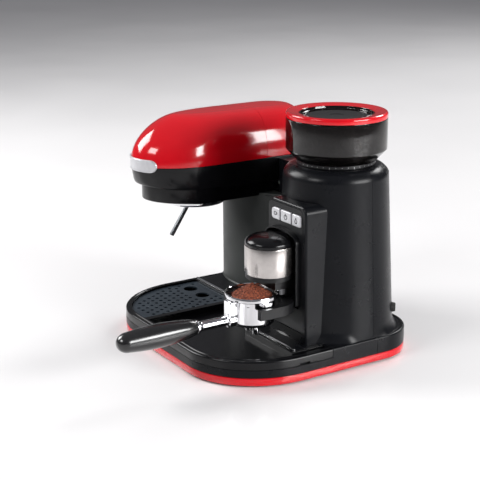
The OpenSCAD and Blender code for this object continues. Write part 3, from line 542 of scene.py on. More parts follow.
BASE = extent("base_skirt")
SHELL = extent("base_shell")
TRAY = extent("drip_tray")
GRATE = extent("tray_grate")
FRONT_CORNER_X = 97
FRONT_CORNER_Y = 105
REAR_CORNER = 59
PLINTH_X0 = 50
PLINTH_X1 = 148
PLINTH_Y = -42
TRAY_BACK_Y = 3.5
FLOOR_Z = TRAY.z0 + 2.2
NOTCH_Y0 = -46.5
NOTCH_Y1 = -31
RIDGE_W = 9
BASE_SEAM_Y = 72.5
SEAM_Y = 67
FAR = 400


def base_outline(inset):
    w = BASE.x1 - inset
    d = BASE.y1 - inset
    fx = FRONT_CORNER_X - inset
    fy = FRONT_CORNER_Y - inset
    r = REAR_CORNER - inset
    return (arc(-w + fx, -d + fy, fx, fy, 180, 270, 28) + arc(w - fx, -d + fy, fx, fy, 270, 360, 28)
            + arc(w - r, d - r, r, r, 0, 90, 20) + arc(-w + r, d - r, r, r, 90, 180, 20))


def tray_zone(grow):
    """The part of the plan that slides out with the tray, grown towards the deck."""
    back = TRAY_BACK_Y + grow
    return [(-FAR, -FAR), (FAR, -FAR), (FAR, back), (PLINTH_X1 - grow, back),
            (PLINTH_X1 - grow, PLINTH_Y + grow), (PLINTH_X0 + grow, PLINTH_Y + grow),
            (PLINTH_X0 + grow, back), (-FAR, back)]


def rim_profile(z0, z1):
    """The wall of the base up to its raised lip, and the groove behind the lip."""
    return [(0.9, z0), (0.2, z0 + 0.3), (0, z0 + 0.9), (0, z1 - 2.6), (0.35, z1 - 1.2),
            (1.1, z1 - 0.35), (2.2, z1), (4.6, z1), (5.2, z1 - 0.5), (6.0, z1 - 0.5), (6.6, z1)]


def make_base():
    band = stack(base_outline, [(1.2, BASE.z0), (0.3, BASE.z0 + 0.6), (0, BASE.z0 + 1.8), (0, BASE.z1 - 1.2),
                                (0.3, BASE.z1 - 0.4), (1.0, BASE.z1), (3, BASE.z1), (3, BASE.z0)], loop=True)
    piece("base_band", band, "base_skirt")
    solid = stack(base_outline, rim_profile(BASE.z1, SHELL.z1) + [(12, SHELL.z1)])
    hollow = prism(tray_zone(0), TRAY.z0 - 0.3, SHELL.z1 + 5)
    seams = [block(s * BASE.x1 - 1.4, s * BASE.x1 + 1.4, BASE_SEAM_Y, BASE_SEAM_Y + 0.6, BASE.z1 - 1,
                   SHELL.z1 - 2)
             for s in (-1, 1)]
    body = cut(solid, hollow, *seams)
    top = lambda edge: min(v.co.z for v in edge.verts) > SHELL.z1 - 0.01
    piece("base_body", round_edges(body, 0.8, 3, 60, top), "base_shell", weighted=True)


def make_tray():
    zone = prism(tray_zone(-0.4), TRAY.z0 - 5, TRAY.z1 + 5)
    solid = common(stack(base_outline, rim_profile(TRAY.z0, TRAY.z1) + [(9, TRAY.z1)]), zone)
    wall = [(13.6, FLOOR_Z), (12.6, FLOOR_Z + 0.4), (11.9, FLOOR_Z + 1.6), (11.3, TRAY.z1 - 2),
            (10.7, TRAY.z1 - 0.7), (9.8, TRAY.z1 + 0.02), (9.8, TRAY.z1 + 3)]
    split = GRATE.x1
    basin = common(stack(base_outline, wall), prism(tray_zone(-4.4), 0, 90),
                   block(split + RIDGE_W, FAR, -FAR, FAR, 0, 90))
    below_grate = common(stack(base_outline, wall), block(-FAR, split - 2, -FAR, GRATE.y1 - 2, 0, 90))
    rest = [(8.1, GRATE.z0 - 0.2), (8.1, TRAY.z1 + 3)]
    pocket = common(stack(base_outline, rest), block(-FAR, split + 0.6, -FAR, GRATE.y1 + 0.6, 0, 90))
    notches = [block(s * (BASE.x1 - 1) - 3, s * (BASE.x1 - 1) + 3, NOTCH_Y0, NOTCH_Y1, TRAY.z0 - 1,
                     TRAY.z0 + 3)
               for s in (-1, 1)]
    body = cut(solid, basin, below_grate, pocket, *notches)
    round_edges(body, 1.2, 4, 55)
    piece("tray_body", body, "drip_tray", weighted=True)


def make_feet():
    foot = extent("feet")
    spots = [(-112, -84), (112, -84), (-126, 108), (126, 108), (0, 0)]
    profile = [(0, foot.z1), (11, foot.z1), (11, 1.0), (10.6, 0.3), (9.8, 0), (7.5, 0), (7.1, 0.4), (0, 0.4)]
    piece("feet_pads", joined(*[lathe(profile, (x, y, 0), steps=48) for x, y in spots]), "feet")


# ---- left column, rear housing and tank ----

COLUMN = extent("brew_column")
COLUMN_ARC = (-116, 140)
COLUMN_R = 102
COLUMN_LEFT = -166


def column_outline(inset):
    """Round front between a flat left side and a flat back."""
    r = COLUMN_R - inset
    left = COLUMN_LEFT + max(inset, -1)
    back = COLUMN.y1 - max(inset, 0)
    start = 180 + math.degrees(math.acos((COLUMN_ARC[0] - left) / r))
    end = 360 - math.degrees(math.asin((COLUMN_ARC[1] - back) / r))
    return arc(*COLUMN_ARC, r, r, start, end, 60) + [(left, back)]


def make_column():
    z0, z1 = COLUMN.z0, COLUMN.z1
    body = stack(column_outline, [(-1.6, z0), (-1.6, z0 + 0.7), (-1.2, z0 + 1.3), (-0.4, z0 + 1.7),
                                  (0, z0 + 2.6),
                                  (0, z1 - 0.8), (0.3, z1 - 0.2), (0.9, z1)])
    slit = block(-60, -40, 20, 60, z1 - 3.4, z1 - 2.6)
    seam = block(COLUMN_LEFT - 2, COLUMN_LEFT + 1, SEAM_Y, SEAM_Y + 0.6, z0 + 3, z1 - 3)
    piece("column_casing", cut(body, slit, seam), "brew_column", smooth=40)


# ---- grinder column ----

FRONT_SHELL = extent("grinder_front_shell")
PLATE = extent("control_panel")
GRINDER = extent("adjust_collar")
GRINDER_AXIS = (GRINDER.cx, GRINDER.cy, 0)
FOOT_R = 75.4
TOP_R = 66.6
NECK_R = 51.5
SHOULDER_Z0 = 230
FLARE_REACH = 6
FLARE_HEIGHT = 15
COLUMN_SIDES = 160
NECK_BORE_R = 36
KEY_GAP = 0.6
LIP_W = 2.6
PANEL_Y = -18.7
PANEL_X0 = 60
PANEL_X1 = 139.5
PANEL_FOOT_X1 = 141.5
PANEL_TOP = 207.5
NICHE_X = 93.5
NICHE_W = 32.5
NICHE_TOP = 171.5
NICHE_RISE = 14
NICHE_Z0 = 76
NICHE_BACK = -10
WALL = 3


def column_profile(grow):
    """Radius and height of the grinder column from its foot to its neck, without the flare."""
    z0, z1 = FRONT_SHELL.z0, FRONT_SHELL.z1
    foot = [(FOOT_R + grow, z0 + FLARE_HEIGHT * (k / 12) ** 1.5) for k in range(13)]
    shoulder = [(NECK_R + grow + (TOP_R - NECK_R) * math.cos(a),
                 SHOULDER_Z0 + (z1 - SHOULDER_Z0 + min(grow, 0)) * math.sin(a))
                for a in (math.radians(6 * k) for k in range(16))]
    return foot + shoulder


def panel_outline(inset):
    r = 10 - inset
    return ([(PANEL_X0 + inset, FRONT_SHELL.z0), (PANEL_FOOT_X1 - inset, FRONT_SHELL.z0)]
            + arc(PANEL_X1 - inset - r, PANEL_TOP - inset - r, r, r, 0, 90, 10)
            + arc(PANEL_X0 + inset + r, PANEL_TOP - inset - r, r, r, 90, 180, 10))


def plate_outline(inset):
    r = 7 - inset
    x0, x1 = PLATE.x0 + inset, 133.1 - inset
    return ([(x0, PLATE.z0 + inset), (PLATE.x1 - inset, PLATE.z0 + inset)]
            + arc(x1 - r, PLATE.z1 - inset - r, r, r, 0, 90, 8) + arc(x0 + r, PLATE.z1 - inset - r, r, r, 90,
                                                                      180, 8))


def niche_outline(inset):
    """Straight sides under a flattened arch with full shoulders."""
    w = NICHE_W - inset
    rise = NICHE_RISE - inset
    half = [(w * math.cos(a) ** 0.77, rise * math.sin(a) ** 0.77)
            for a in (math.radians(5 * k) for k in range(18))]
    spring = NICHE_TOP - NICHE_RISE
    return ([(NICHE_X - w, NICHE_Z0 + inset), (NICHE_X + w, NICHE_Z0 + inset)]
            + [(NICHE_X + x, spring + z) for x, z in half] + [(NICHE_X, spring + rise)]
            + [(NICHE_X - x, spring + z) for x, z in half[::-1]])


def lip_distance(angle):
    """From the column's axis to the inner side of the base's lip."""
    axis = Vector((GRINDER.cx, GRINDER.cy))
    far = axis + Vector((math.cos(angle), math.sin(angle))) * FAR
    lip = [Vector(p) for p in base_outline(LIP_W)]
    hits = [geometry.intersect_line_line_2d(axis, far, p, q) for p, q in zip(lip, lip[1:] + lip[:1])]
    return min((hit - axis).length for hit in hits if hit)


def solid_column(grow):
    """The column with a flared foot that ends at the lip where the base is near."""
    turns = [2 * math.pi * k / COLUMN_SIDES for k in range(COLUMN_SIDES)]
    room = [lip_distance(t) for t in turns]
    rings = []
    for radius, z in column_profile(grow):
        ease = max(0, 1 - (z - FRONT_SHELL.z0) / FLARE_HEIGHT) ** 2
        reach = [radius + ease * max(0, min(FLARE_REACH, edge - radius)) for edge in room]
        rings.append([(GRINDER.cx + r * math.cos(t), GRINDER.cy + r * math.sin(t), z) for r,
                      t in zip(reach, turns)])
    return loft(rings)


def key_outline(node, grow=0):
    key = extent(node)
    corners = [(key.x0 - grow, key.z0 - grow), (key.x1 + grow, key.z0 - grow),
               (key.x1 + grow, key.z1 + grow), (key.x0 - grow, key.z1 + grow)]
    radii = {"cup_button": [4.5, 1, 1, 4.5], "power_button": [1, 1, 1, 1],
             "steam_button": [1, 2.5, 2.5, 1]}[node]
    return lambda inset: rounded([(x + math.copysign(inset, key.cx - x), z + math.copysign(inset, key.cz - z))
                                  for x, z in corners], [max(r - inset, 0.3) for r in radii], 5)


KEYS = ("cup_button", "power_button", "steam_button")


def make_front_shell():
    edge = 3
    front = [(edge * (1 - math.sin(math.radians(a))), PANEL_Y + edge * (1 - math.cos(math.radians(a))))
             for a in (0, 18, 36, 54, 72, 90)]
    panel = stack(panel_outline, front + [(0, 26)], upright=True)
    inside = common(stack(panel_outline, [(WALL, PANEL_Y + 5), (WALL, 30)], upright=True),
                    block(-FAR, FAR, -FAR, FAR, FRONT_SHELL.z0 - 1, FAR))
    pocket_walls = stack(niche_outline, [(-2.5, PANEL_Y), (-2.5, NICHE_BACK + 2.5)], upright=True)
    hollow = cut(inside, pocket_walls)
    niche = stack(niche_outline, [(0, PANEL_Y - 1), (0, NICHE_BACK)], upright=True)
    seat = stack(plate_outline, [(-0.4, PANEL_Y - 1), (-0.4, PANEL_Y + 1.8)], upright=True)
    keys = [stack(key_outline(k, KEY_GAP), [(0, PANEL_Y - 2), (0, PANEL_Y + 8)], upright=True) for k in KEYS]
    rear_half = block(-FAR, FAR, SEAM_Y, FAR, 0, FAR)
    bore = rod(NECK_BORE_R, 200, 260, GRINDER_AXIS)
    lever = block(NICHE_X + 5, NICHE_X + 13, NICHE_BACK - 1, 8, 90.5, 100.5)
    outlet = rod(7.4, 0, 20, (NICHE_X, 8, 109), "-Y", 48)
    body = fuse(solid_column(0), panel)
    body = cut(body, solid_column(-WALL), hollow, niche, seat, *keys, rear_half, bore, lever, outlet)
    body = common(body, stack(base_outline, [(0, SHELL.z1 - 1), (0, FAR)]))
    piece("column_front", body, "grinder_front_shell", smooth=32, weighted=True)


def make_rear_shell():
    front_half = block(-FAR, FAR, -FAR, SEAM_Y + 0.4, 0, FAR)
    bore = rod(NECK_BORE_R, 200, 260, GRINDER_AXIS)
    vents = [block(GRINDER.cx - 22 + 8 * i, GRINDER.cx - 18 + 8 * i, 118, 150, 70, 100) for i in range(6)]
    gland = extent("cable_gland")
    spot = Vector((gland.cx - GRINDER.cx, gland.cy - GRINDER.cy, 0)).normalized()
    hole = sweep([Vector((GRINDER.cx, GRINDER.cy, gland.cz)) + spot * r for r in (60, 90)], 5.2, 32)
    body = cut(solid_column(0), solid_column(-WALL), front_half, bore, hole, *vents)
    body = common(body, stack(base_outline, [(0, SHELL.z1 - 1), (0, FAR)]))
    ribs = []
    for angle in (38, 43, 48, 53):
        turn = math.radians(angle)
        points = [Vector((GRINDER.cx + (r - 0.2) * math.cos(turn), GRINDER.cy + (r - 0.2) * math.sin(turn),
                          z))
                  for r, z in column_profile(0)[16:25]]
        ribs.append(sweep(points, 0.8, 10))
    piece("column_rear", joined(body, *ribs), "grinder_rear_shell", smooth=32, weighted=True)


def make_plate():
    """The control panel with the raised rim round the niche."""
    back = PANEL_Y + 1.8
    plate = stack(plate_outline, [(0.9, PANEL_Y), (0.3, PANEL_Y + 0.2), (0, PANEL_Y + 0.7), (0, back)],
                  upright=True)
    rim_y = PLATE.y0
    rim = stack(niche_outline, [(-2.3, back), (-2.3, rim_y + 0.9), (-2.0, rim_y + 0.25), (-1.4, rim_y),
                                (-0.6, rim_y),
                                (0, rim_y + 0.5), (0, back)], upright=True, loop=True)
    rim = cut(rim, block(-FAR, FAR, -FAR, FAR, 0, 82))
    niche = stack(niche_outline, [(0.05, PANEL_Y - 2), (0.05, back + 1)], upright=True)
    keys = [stack(key_outline(k, KEY_GAP), [(-0.5, PANEL_Y - 0.5), (-0.5, PANEL_Y), (0, PANEL_Y + 0.5),
                                            (0, back + 1)],
                  upright=True) for k in KEYS]
    plate = cut(fuse(plate, rim), niche, *keys)
    piece("panel_plate", plate, "control_panel", smooth=30, weighted=True)


def cup_icon(x, z):
    cup = rounded([(x - 3.2, z + 2.4), (x - 2.6, z - 2.2), (x + 1.6, z - 2.2), (x + 2.2, z + 2.4)], 0.8, 3)
    inner = rounded([(x - 2.5, z + 1.8), (x - 2.0, z - 1.6), (x + 1.0, z - 1.6), (x + 1.5, z + 1.8)], 0.5, 3)
    handle = (arc(x + 2.2, z + 0.4, 2.0, 1.6, -80, 80, 8), arc(x + 2.2, z + 0.4, 1.3, 0.9, 80, -80, 8))
    return [(cup, inner)], [handle[0] + handle[1]]


def power_icon(x, z):
    outer = arc(x, z - 0.3, 3.4, 3.4, 115, 425, 24)
    inner = arc(x, z - 0.3, 2.6, 2.6, 425, 115, 24)
    bar = [(x - 0.4, z + 0.6), (x + 0.4, z + 0.6), (x + 0.4, z + 3.6), (x - 0.4, z + 3.6)]
    return [], [outer + inner, bar]


def drop_icon(x, z):
    shape = lambda s: [(x, z + 4.2 * s)] + arc(x, z - 1.0 * s, 2.7 * s, 2.7 * s, 30, -210, 20)
    return [(shape(1), shape(0.68))], []


def make_keys():
    icons = {"cup_button": cup_icon, "power_button": power_icon, "steam_button": drop_icon}
    for node in KEYS:
        key = extent(node)
        cap = stack(key_outline(node), [(1.4, key.y0 + 0.25), (0.7, key.y0 + 0.35), (0.2, key.y0 + 0.8),
                                        (0, key.y0 + 1.6), (0, key.y1)], upright=True)
        piece(node + "_cap", cap, node)
        rings, solids = icons[node](key.cx, key.cz)
        marks = [prism(points, key.y0, key.y0 + 0.5, upright=True) for points in solids]
        marks += [cut(prism(outer, key.y0, key.y0 + 0.5, upright=True),
                      prism(inner, key.y0 - 1, key.y0 + 1, upright=True)) for outer, inner in rings]
        piece(node + "_mark", joined(*marks), node, slot="dark_plastic", replaces=False)


# ---- dispensing: arm, fork, tamper and filter holder ----

TAMPER = extent("tamper_base")
KNOB = extent("tamper_knob")
CUP = extent("portafilter_cup")
FERRULE = extent("handle_ferrule")
HANDLE = extent("portafilter_handle")
SPOUT = extent("pour_spout")
CUP_X = SPOUT.cx
CUP_Y = SPOUT.cy
CUP_AXIS = (CUP_X, CUP_Y, 0)
CUP_R = 28.5
RIM_R = 34
RIM_Z0 = 93.5
RECESS = 5
LUG_W = 7
SLOT_TURN = math.radians(48)
BOSS_W = 8
BOSS_Y = -101
BOSS_Z0 = 73


def make_tamper():
    r = TAMPER.x1 - TAMPER.cx
    axis = (TAMPER.cx, TAMPER.cy, 0)
    z0, z1 = TAMPER.z0, TAMPER.z1
    base = lathe([(0, z0 + 0.4), (r - 3, z0 + 0.4), (r - 2.4, z0), (r - 0.9, z0), (r - 0.25, z0 + 0.25),
                  (r, z0 + 0.9),
                  (r, z1 - 0.8), (r - 0.2, z1 - 0.2), (r - 0.7, z1), (0, z1)], axis, steps=128)
    piece("tamper_drum", base, "tamper_base", origin=axis)
    top = KNOB.z1
    wall = z1 + 3
    dome = [((r - 0.4) * math.cos(a) ** 0.5, wall + (top - wall) * math.sin(a) ** 1.1)
            for a in (math.radians(6 * k) for k in range(15))]
    knob = lathe([(0, z1), (r - 1.0, z1), (r - 0.6, z1 + 0.4)] + dome + [(0, top)], axis, steps=128)
    piece("tamper_cap", knob, "tamper_knob", smooth=50)


def make_cup():
    z0, z1 = CUP.z0, CUP.z1
    inner = RIM_R - 1.8
    shelf = z1 - RECESS
    profile = [(0, z0), (CUP_R - 5.5, z0), (CUP_R - 2.2, z0 + 0.9), (CUP_R - 0.5, z0 + 3), (CUP_R, z0 + 5.5),
               (CUP_R, RIM_Z0 - 1.6), (CUP_R + 0.4, RIM_Z0 - 0.5), (CUP_R + 1.6, RIM_Z0), (RIM_R - 0.7,
                                                                                           RIM_Z0),
               (RIM_R, RIM_Z0 + 0.8), (RIM_R, z1 - 1.4), (RIM_R - 0.4, z1 - 0.4), (RIM_R - 1, z1),
               (inner, z1 - 0.5), (inner, shelf), (CUP_R - 2, shelf), (CUP_R - 2, z0 + 4), (0, z0 + 4)]
    body = lathe(profile, CUP_AXIS, steps=128)
    hollow = lambda: rod(CUP_R - 2, z0 + 4, z1, CUP_AXIS, steps=128)
    reach = CUP.x1 - CUP_X
    ears = stack(lambda i: [(CUP_X + x, CUP_Y + y) for x, y in
                            rectangle(-reach, reach, -LUG_W, LUG_W, i, 3.2 - i, 6)],
                 [(0.5, 89.3), (0, 89.8), (0, 93.7), (0.5, 94.1)])
    ears = cut(ears, rod(CUP_R - 1, 80, 105, CUP_AXIS))
    boss = stack(lambda i: rectangle(CUP_X - BOSS_W, CUP_X + BOSS_W, BOSS_Z0, RIM_Z0 - 0.6, i, 2.5 - i, 5),
                 [(0.9, BOSS_Y), (0.25, BOSS_Y + 0.4), (0, BOSS_Y + 1), (0, CUP_Y - CUP_R + 4)], upright=True)
    length = CUP_Y - CUP_R + 6 - CUP.y0
    root = BOSS_Y - CUP.y0
    step = length - root
    stem = lathe([(0, 0), (8.4, 0), (9, 0.5), (9, step), (8.8, step + 0.5), (6.6, step + 1), (6, step + 1.6),
                  (6, length), (0, length)], (CUP_X, CUP_Y - CUP_R + 6, FERRULE.cz), axis="-Y", steps=64)
    slot = block(-1.5, 1.5, -CUP_R - 2, -CUP_R + 1.2, 87, 93)
    slot.transform(Matrix.Translation(CUP_AXIS) @ Matrix.Rotation(SLOT_TURN, 4, "Z"))
    piece("holder_cup", joined(cut(body, slot), ears, cut(boss, hollow()), cut(stem, hollow())),
          "portafilter_cup", smooth=30)


def make_basket():
    r = CUP_R - 2.4
    top = CUP.z1 - RECESS
    flange = RIM_R - 2.1
    profile = [(0, 71), (r - 1.6, 71), (r - 0.4, 71.5), (r, 73), (r, 83), (r - 0.5, 83.6), (r - 0.5, 84.4),
               (r, 85),
               (r, top), (flange, top), (flange, top + 0.5), (flange - 0.4, top + 0.9), (r - 0.6, top + 0.9),
               (r - 0.8, top + 0.5), (r - 0.8, 72.4), (r - 1.8, 71.8), (0, 71.8)]
    piece("basket_shell", lathe(profile, CUP_AXIS, steps=128), "filter_basket")


CRUMBS = 420


def make_coffee():
    """A heap with a rough surface, and loose crumbs on it."""
    heap = extent("ground_coffee")
    reach = heap.x1 - heap.cx
    brim = 94.5
    peak = heap.z1 - 1
    crown = lambda share: brim + (peak - brim) * (1 - share) ** 0.85 * (1 - 0.12 * share)
    line = [(reach, heap.z0), (reach, brim - 1.5)] + [(reach * (1 - k / 30), crown(1 - k / 30))
                                                      for k in range(1, 30)]
    bm = lathe([(0, heap.z0)] + line + [(0, crown(0) - 0.4)], (heap.cx, heap.cy, 0), steps=150)
    for vertex in bm.verts:
        if vertex.co.z > brim - 1:
            p = vertex.co
            rough = 1.1 * noise.noise(p * 0.33) + 0.75 * noise.noise(p * 0.9) + 0.5 * noise.noise(p * 2.1)
            flat = Vector((p.x - heap.cx, p.y - heap.cy, 0))
            fade = min(1, (reach - flat.length) / 2.5 + 0.15)
            vertex.co.z = min(p.z + rough * fade, heap.z1 - 0.05)
            vertex.co.xy = vertex.co.xy + flat.normalized().xy * 0.3 * noise.noise(p * 1.7) * fade
    piece("coffee_heap", bm, "ground_coffee", smooth=60)
    chance = random.Random(4)
    crumbs = []
    for _ in range(CRUMBS):
        turn = chance.uniform(0, 2 * math.pi)
        share = math.sqrt(chance.uniform(0.004, 0.86))
        crumb = bmesh.new()
        size = chance.uniform(0.28, 0.75)
        bmesh.ops.create_icosphere(crumb, subdivisions=1, radius=size)
        for v in crumb.verts:
            v.co *= chance.uniform(0.6, 1.15)
        crumb.transform(Matrix.Translation((heap.cx + reach * share * math.cos(turn),
                                            heap.cy + reach * share * math.sin(turn),
                                            min(crown(share) + 0.2, heap.z1 - 1))))
        crumbs.append(crumb)
    piece("coffee_crumbs", joined(*crumbs), "ground_coffee", replaces=False, smooth=20)


def make_spout():
    """A block under the cup with two short nozzles."""
    nozzle = 4.2
    gap = (SPOUT.x1 - SPOUT.x0) / 2 - nozzle
    top = lathe([(0, SPOUT.z1), (3.9, SPOUT.z1), (3.9, CUP.z0), (6.4, CUP.z0), (7, CUP.z0 - 0.6), (7, 57),
                 (6.2, 54.5),
                 (4.5, 52.4), (0, 52)], CUP_AXIS, steps=48)
    parts = [top]
    for s in (-1, 1):
        shape = rounded([(0, 58.8), (nozzle, 58.8), (nozzle, SPOUT.z0), (nozzle - 1.4, SPOUT.z0),
                         (nozzle - 1.4, SPOUT.z0 + 8),
                         (0, SPOUT.z0 + 8)], [0, 3.2, 0.5, 0.5, 0.4, 0], 5)
        parts.append(lathe(shape, (CUP_X + s * gap, CUP_Y, 0), steps=48))
    piece("twin_spout", joined(*parts), "pour_spout", smooth=40)


def make_handle():
    place = (FERRULE.cx, FERRULE.y1, FERRULE.cz)
    long = FERRULE.y1 - FERRULE.y0
    r = FERRULE.x1 - FERRULE.cx
    profile = rounded([(0, 0), (6, 0), (6, long - 7), (r, long - 2.5), (r, long), (0, long)],
                      [0, 0.3, 6, 1.5, 0.4, 0], 5)
    piece("ferrule_collar", lathe(profile, place, axis="-Y", steps=72), "handle_ferrule", smooth=40)
    length = HANDLE.y1 - HANDLE.y0
    body = [(11 + 3.6 * math.sin(math.radians(i * 8)), 6 + (length - 20) * i / 20) for i in range(1, 21)]
    end_r = body[-1][0]
    tip = [(end_r * math.cos(a), length - 14 + 14 * math.sin(a))
           for a in (math.radians(9 * k) for k in range(1, 10))]
    start = [(0, 0), (8.3, 0), (9, 0.5), (9.3, 2), (10.2, 4.4)]
    grip = lathe(start + body + tip[:-1] + [(0, length)], (HANDLE.cx, HANDLE.y1, HANDLE.cz), axis="-Y",
                 steps=72)
    piece("handle_grip", grip, "portafilter_handle", smooth=50)



# ---- brew head ----

HEAD = extent("head_skirt")
DOME = extent("head_cover")
BAND = extent("head_base")
LID = extent("fill_lid")
HEAD_X = DOME.cx
HEAD_W = (DOME.x1 - DOME.x0) / 2
HEAD_REAR = 151
DOME_Z = DOME.z0
SKIRT_Z = BAND.z1
LID_Y = 57
NOSE_REACH = 63
TAIL_REACH = 35.6
FRONT_ROUND = 85
REAR_ROUND = 34
SKIRT_EDGE = [(HEAD.y0, 199.5), (-100, 197.4), (-80, 195), (-55, 193.3), (-30, 193.2), (-5, 191), (20, 190.6)]
HINGE_Y = 154.5
HINGE_Z = 225.4
WAND_X = -160
WAND_Y = 9
GROUP = extent("group_head")
BAND_EDGE = [(HEAD.y0, 179), (-100, 175.6), (-80, 174), (-60, 172.8), (-43, 171.2), (27, 170.7)]


def head_outline(inset, nose=0):
    """Long half-oval front and square rear with round corners."""
    w = HEAD_W - inset
    front = HEAD.y0 + inset + nose
    f = FRONT_ROUND - inset
    r = REAR_ROUND - inset
    rear = HEAD_REAR - inset
    return (arc(HEAD_X, front + f, w, f, 180, 360, 64) + arc(HEAD_X + w - r, rear - r, r, r, 0, 90, 12)
            + arc(HEAD_X - w + r, rear - r, r, r, 90, 180, 12))


def level(outline, z):
    return [(x, y, z) for x, y in outline]


def sloped(outline, line, up):
    """The outline as a ring that follows a sinking edge, up above it."""
    return [(x, y, edge_height(line, y) + up) for x, y in outline]


def edge_height(line, y):
    """The height of a lower edge that sinks from the nose to the rear."""
    for (y0, z0), (y1, z1) in zip(line, line[1:]):
        if y <= y1:
            share = max(0, (y - y0) / (y1 - y0))
            return z0 + (z1 - z0) * share
    return line[-1][1]


def dome_ring(theta, inset):
    """One level of the dome, from theta 0 at the skirt to 90 degrees at the top."""
    lean = math.cos(theta)
    w = (HEAD_W - inset) * max(lean, 1e-4) ** 0.45
    front = HEAD.y0 + inset + NOSE_REACH * (1 - lean ** 1.4)
    rear = HEAD_REAR - inset - TAIL_REACH * (1 - max(lean, 1e-4) ** 0.7)
    z = DOME_Z + (LID.z1 - DOME_Z - inset) * math.sin(theta) ** 0.98
    f = FRONT_ROUND - inset
    r = REAR_ROUND - inset
    flat = arc(HEAD_X, front + f, w, f, 180, 360, 60) + arc(HEAD_X, rear - r, w, r, 0, 180, 36)
    return level(flat, z)


def dome_solid(inset, low):
    levels = [0, 2, 4, 7, 10, 14, 18, 23, 28, 34, 40, 46, 52, 58, 64, 70, 75, 79, 82.5, 85.5, 88, 89.5]
    rings = [dome_ring(math.radians(t), inset) for t in levels]
    skirt = [(x, y, low) for x, y, _ in rings[0]]
    return loft([skirt] + rings if low < rings[0][0][2] else rings)


def make_dome():
    for name, node, y0, y1 in (("dome_front", "head_cover", -FAR, LID_Y),
                               ("dome_rear", "fill_lid", LID_Y + 0.45, FAR)):
        shell = cut(dome_solid(0, DOME_Z), dome_solid(2.6, DOME_Z - 3))
        part = common(shell, block(-FAR, 0, y0, y1, DOME_Z + (0.4 if node == "fill_lid" else 0), FAR))
        if node == "fill_lid":
            part = joined(part, *hinge_knuckles())
        piece(name, part, node, smooth=28)


def hinge_knuckles():
    y, z = HINGE_Y, HINGE_Z
    parts = []
    for x in (-138.6, -105.8):
        barrel = lathe([(0, 0), (2.9, 0), (3.2, 0.3), (3.2, 8.1), (2.9, 8.4), (0, 8.4)], (x + 8.4, y, z),
                       axis="-X", steps=32)
        plan = lambda i: rounded([(x + i, 147.6), (x + 8.4 - i, 147.6), (x + 8.4 - i, y + 1), (x + i, y + 1)],
                                 0.8, 3)
        arm = stack(plan, [(0.5, z + 1), (0, z + 1.5), (0, z + 7), (0.6, z + 8)])
        parts += [barrel, arm]
    for x in (-147.6, -98):
        parts.append(rod(1.45, 0, 9.6, (x + 9.6, y, z), "-X", 24))
    return parts


def head_holes(group_r, wand_r, hose):
    """Bores for the group, the wand and a hose (x, y, radius), and the water fill hole."""
    spots = ((GROUP.cx, GROUP.cy, group_r), (WAND_X, WAND_Y, wand_r), hose)
    bores = [rod(r, 150, 205, (x, y, 0), steps=64) for x, y, r in spots]
    return bores + [block(-146, -90, 92, 132, 150, SKIRT_Z + 4)]


def make_head_sides():
    front_drop = 4
    levels = [(0.6, 0, DOME_Z), (0.1, 0, DOME_Z - 0.5), (0, 0, DOME_Z - 1.4), (0.25, 1.2, 214),
              (0.6, 2.6, 204)]
    edge = [(0.9, front_drop - 0.4, 1.6), (1.4, front_drop, 0.5), (2.2, front_drop, 0)]
    rings = [level(head_outline(inset, nose), z) for inset, nose, z in levels]
    rings += [sloped(head_outline(inset, nose), SKIRT_EDGE, up) for inset, nose, up in edge]
    inner = [level(head_outline(4, front_drop), z) for z in (DOME_Z + 3, SKIRT_Z + 3.5)]
    knob_hole = rod(3.6, 0, 30, (HEAD_X - 45, 10, 211), "-X", 32)
    skirt = cut(loft(rings), loft(inner), *head_holes(40, 3.6, (-92, 40, 4)), knob_hole)
    lugs = []
    for x in (-148, -97):
        barrel = lathe([(1.5, 0), (2.9, 0), (3.2, 0.3), (3.2, 8.7), (2.9, 9), (1.5, 9)],
                       (x + 9, HINGE_Y, HINGE_Z), axis="-X", steps=32, loop=True)
        web = block(x + 0.3, x + 8.7, 149, 152.4, 214, 224.2)
        lugs += [barrel, web]
    piece("head_side", joined(skirt, *lugs), "head_skirt", smooth=30)
    z0 = BAND.z0
    inset, nose = 9.5, 5
    band = [(inset + 1.8, 0), (inset + 0.6, 0.5), (inset, 1.7)]
    band_rings = [sloped(head_outline(i, nose), BAND_EDGE, up) for i, up in band]
    band_rings.append(level(head_outline(inset, nose), SKIRT_Z))
    under = [level(head_outline(inset + 2.4, nose), z) for z in (z0 - 20, z0)]
    hollow = [level(head_outline(inset + WALL, nose), z) for z in (z0 + 2.5, SKIRT_Z + 1)]
    wand_gap = block(WAND_X - 30, WAND_X + 4, WAND_Y - 8, WAND_Y + 8, 150, z0 - 0.1)
    holes = head_holes(35.4, 5.3, (-100, 58, 10))
    piece("head_band", cut(loft(band_rings), loft(hollow), loft(under), *holes, wand_gap), "head_base",
          smooth=30)


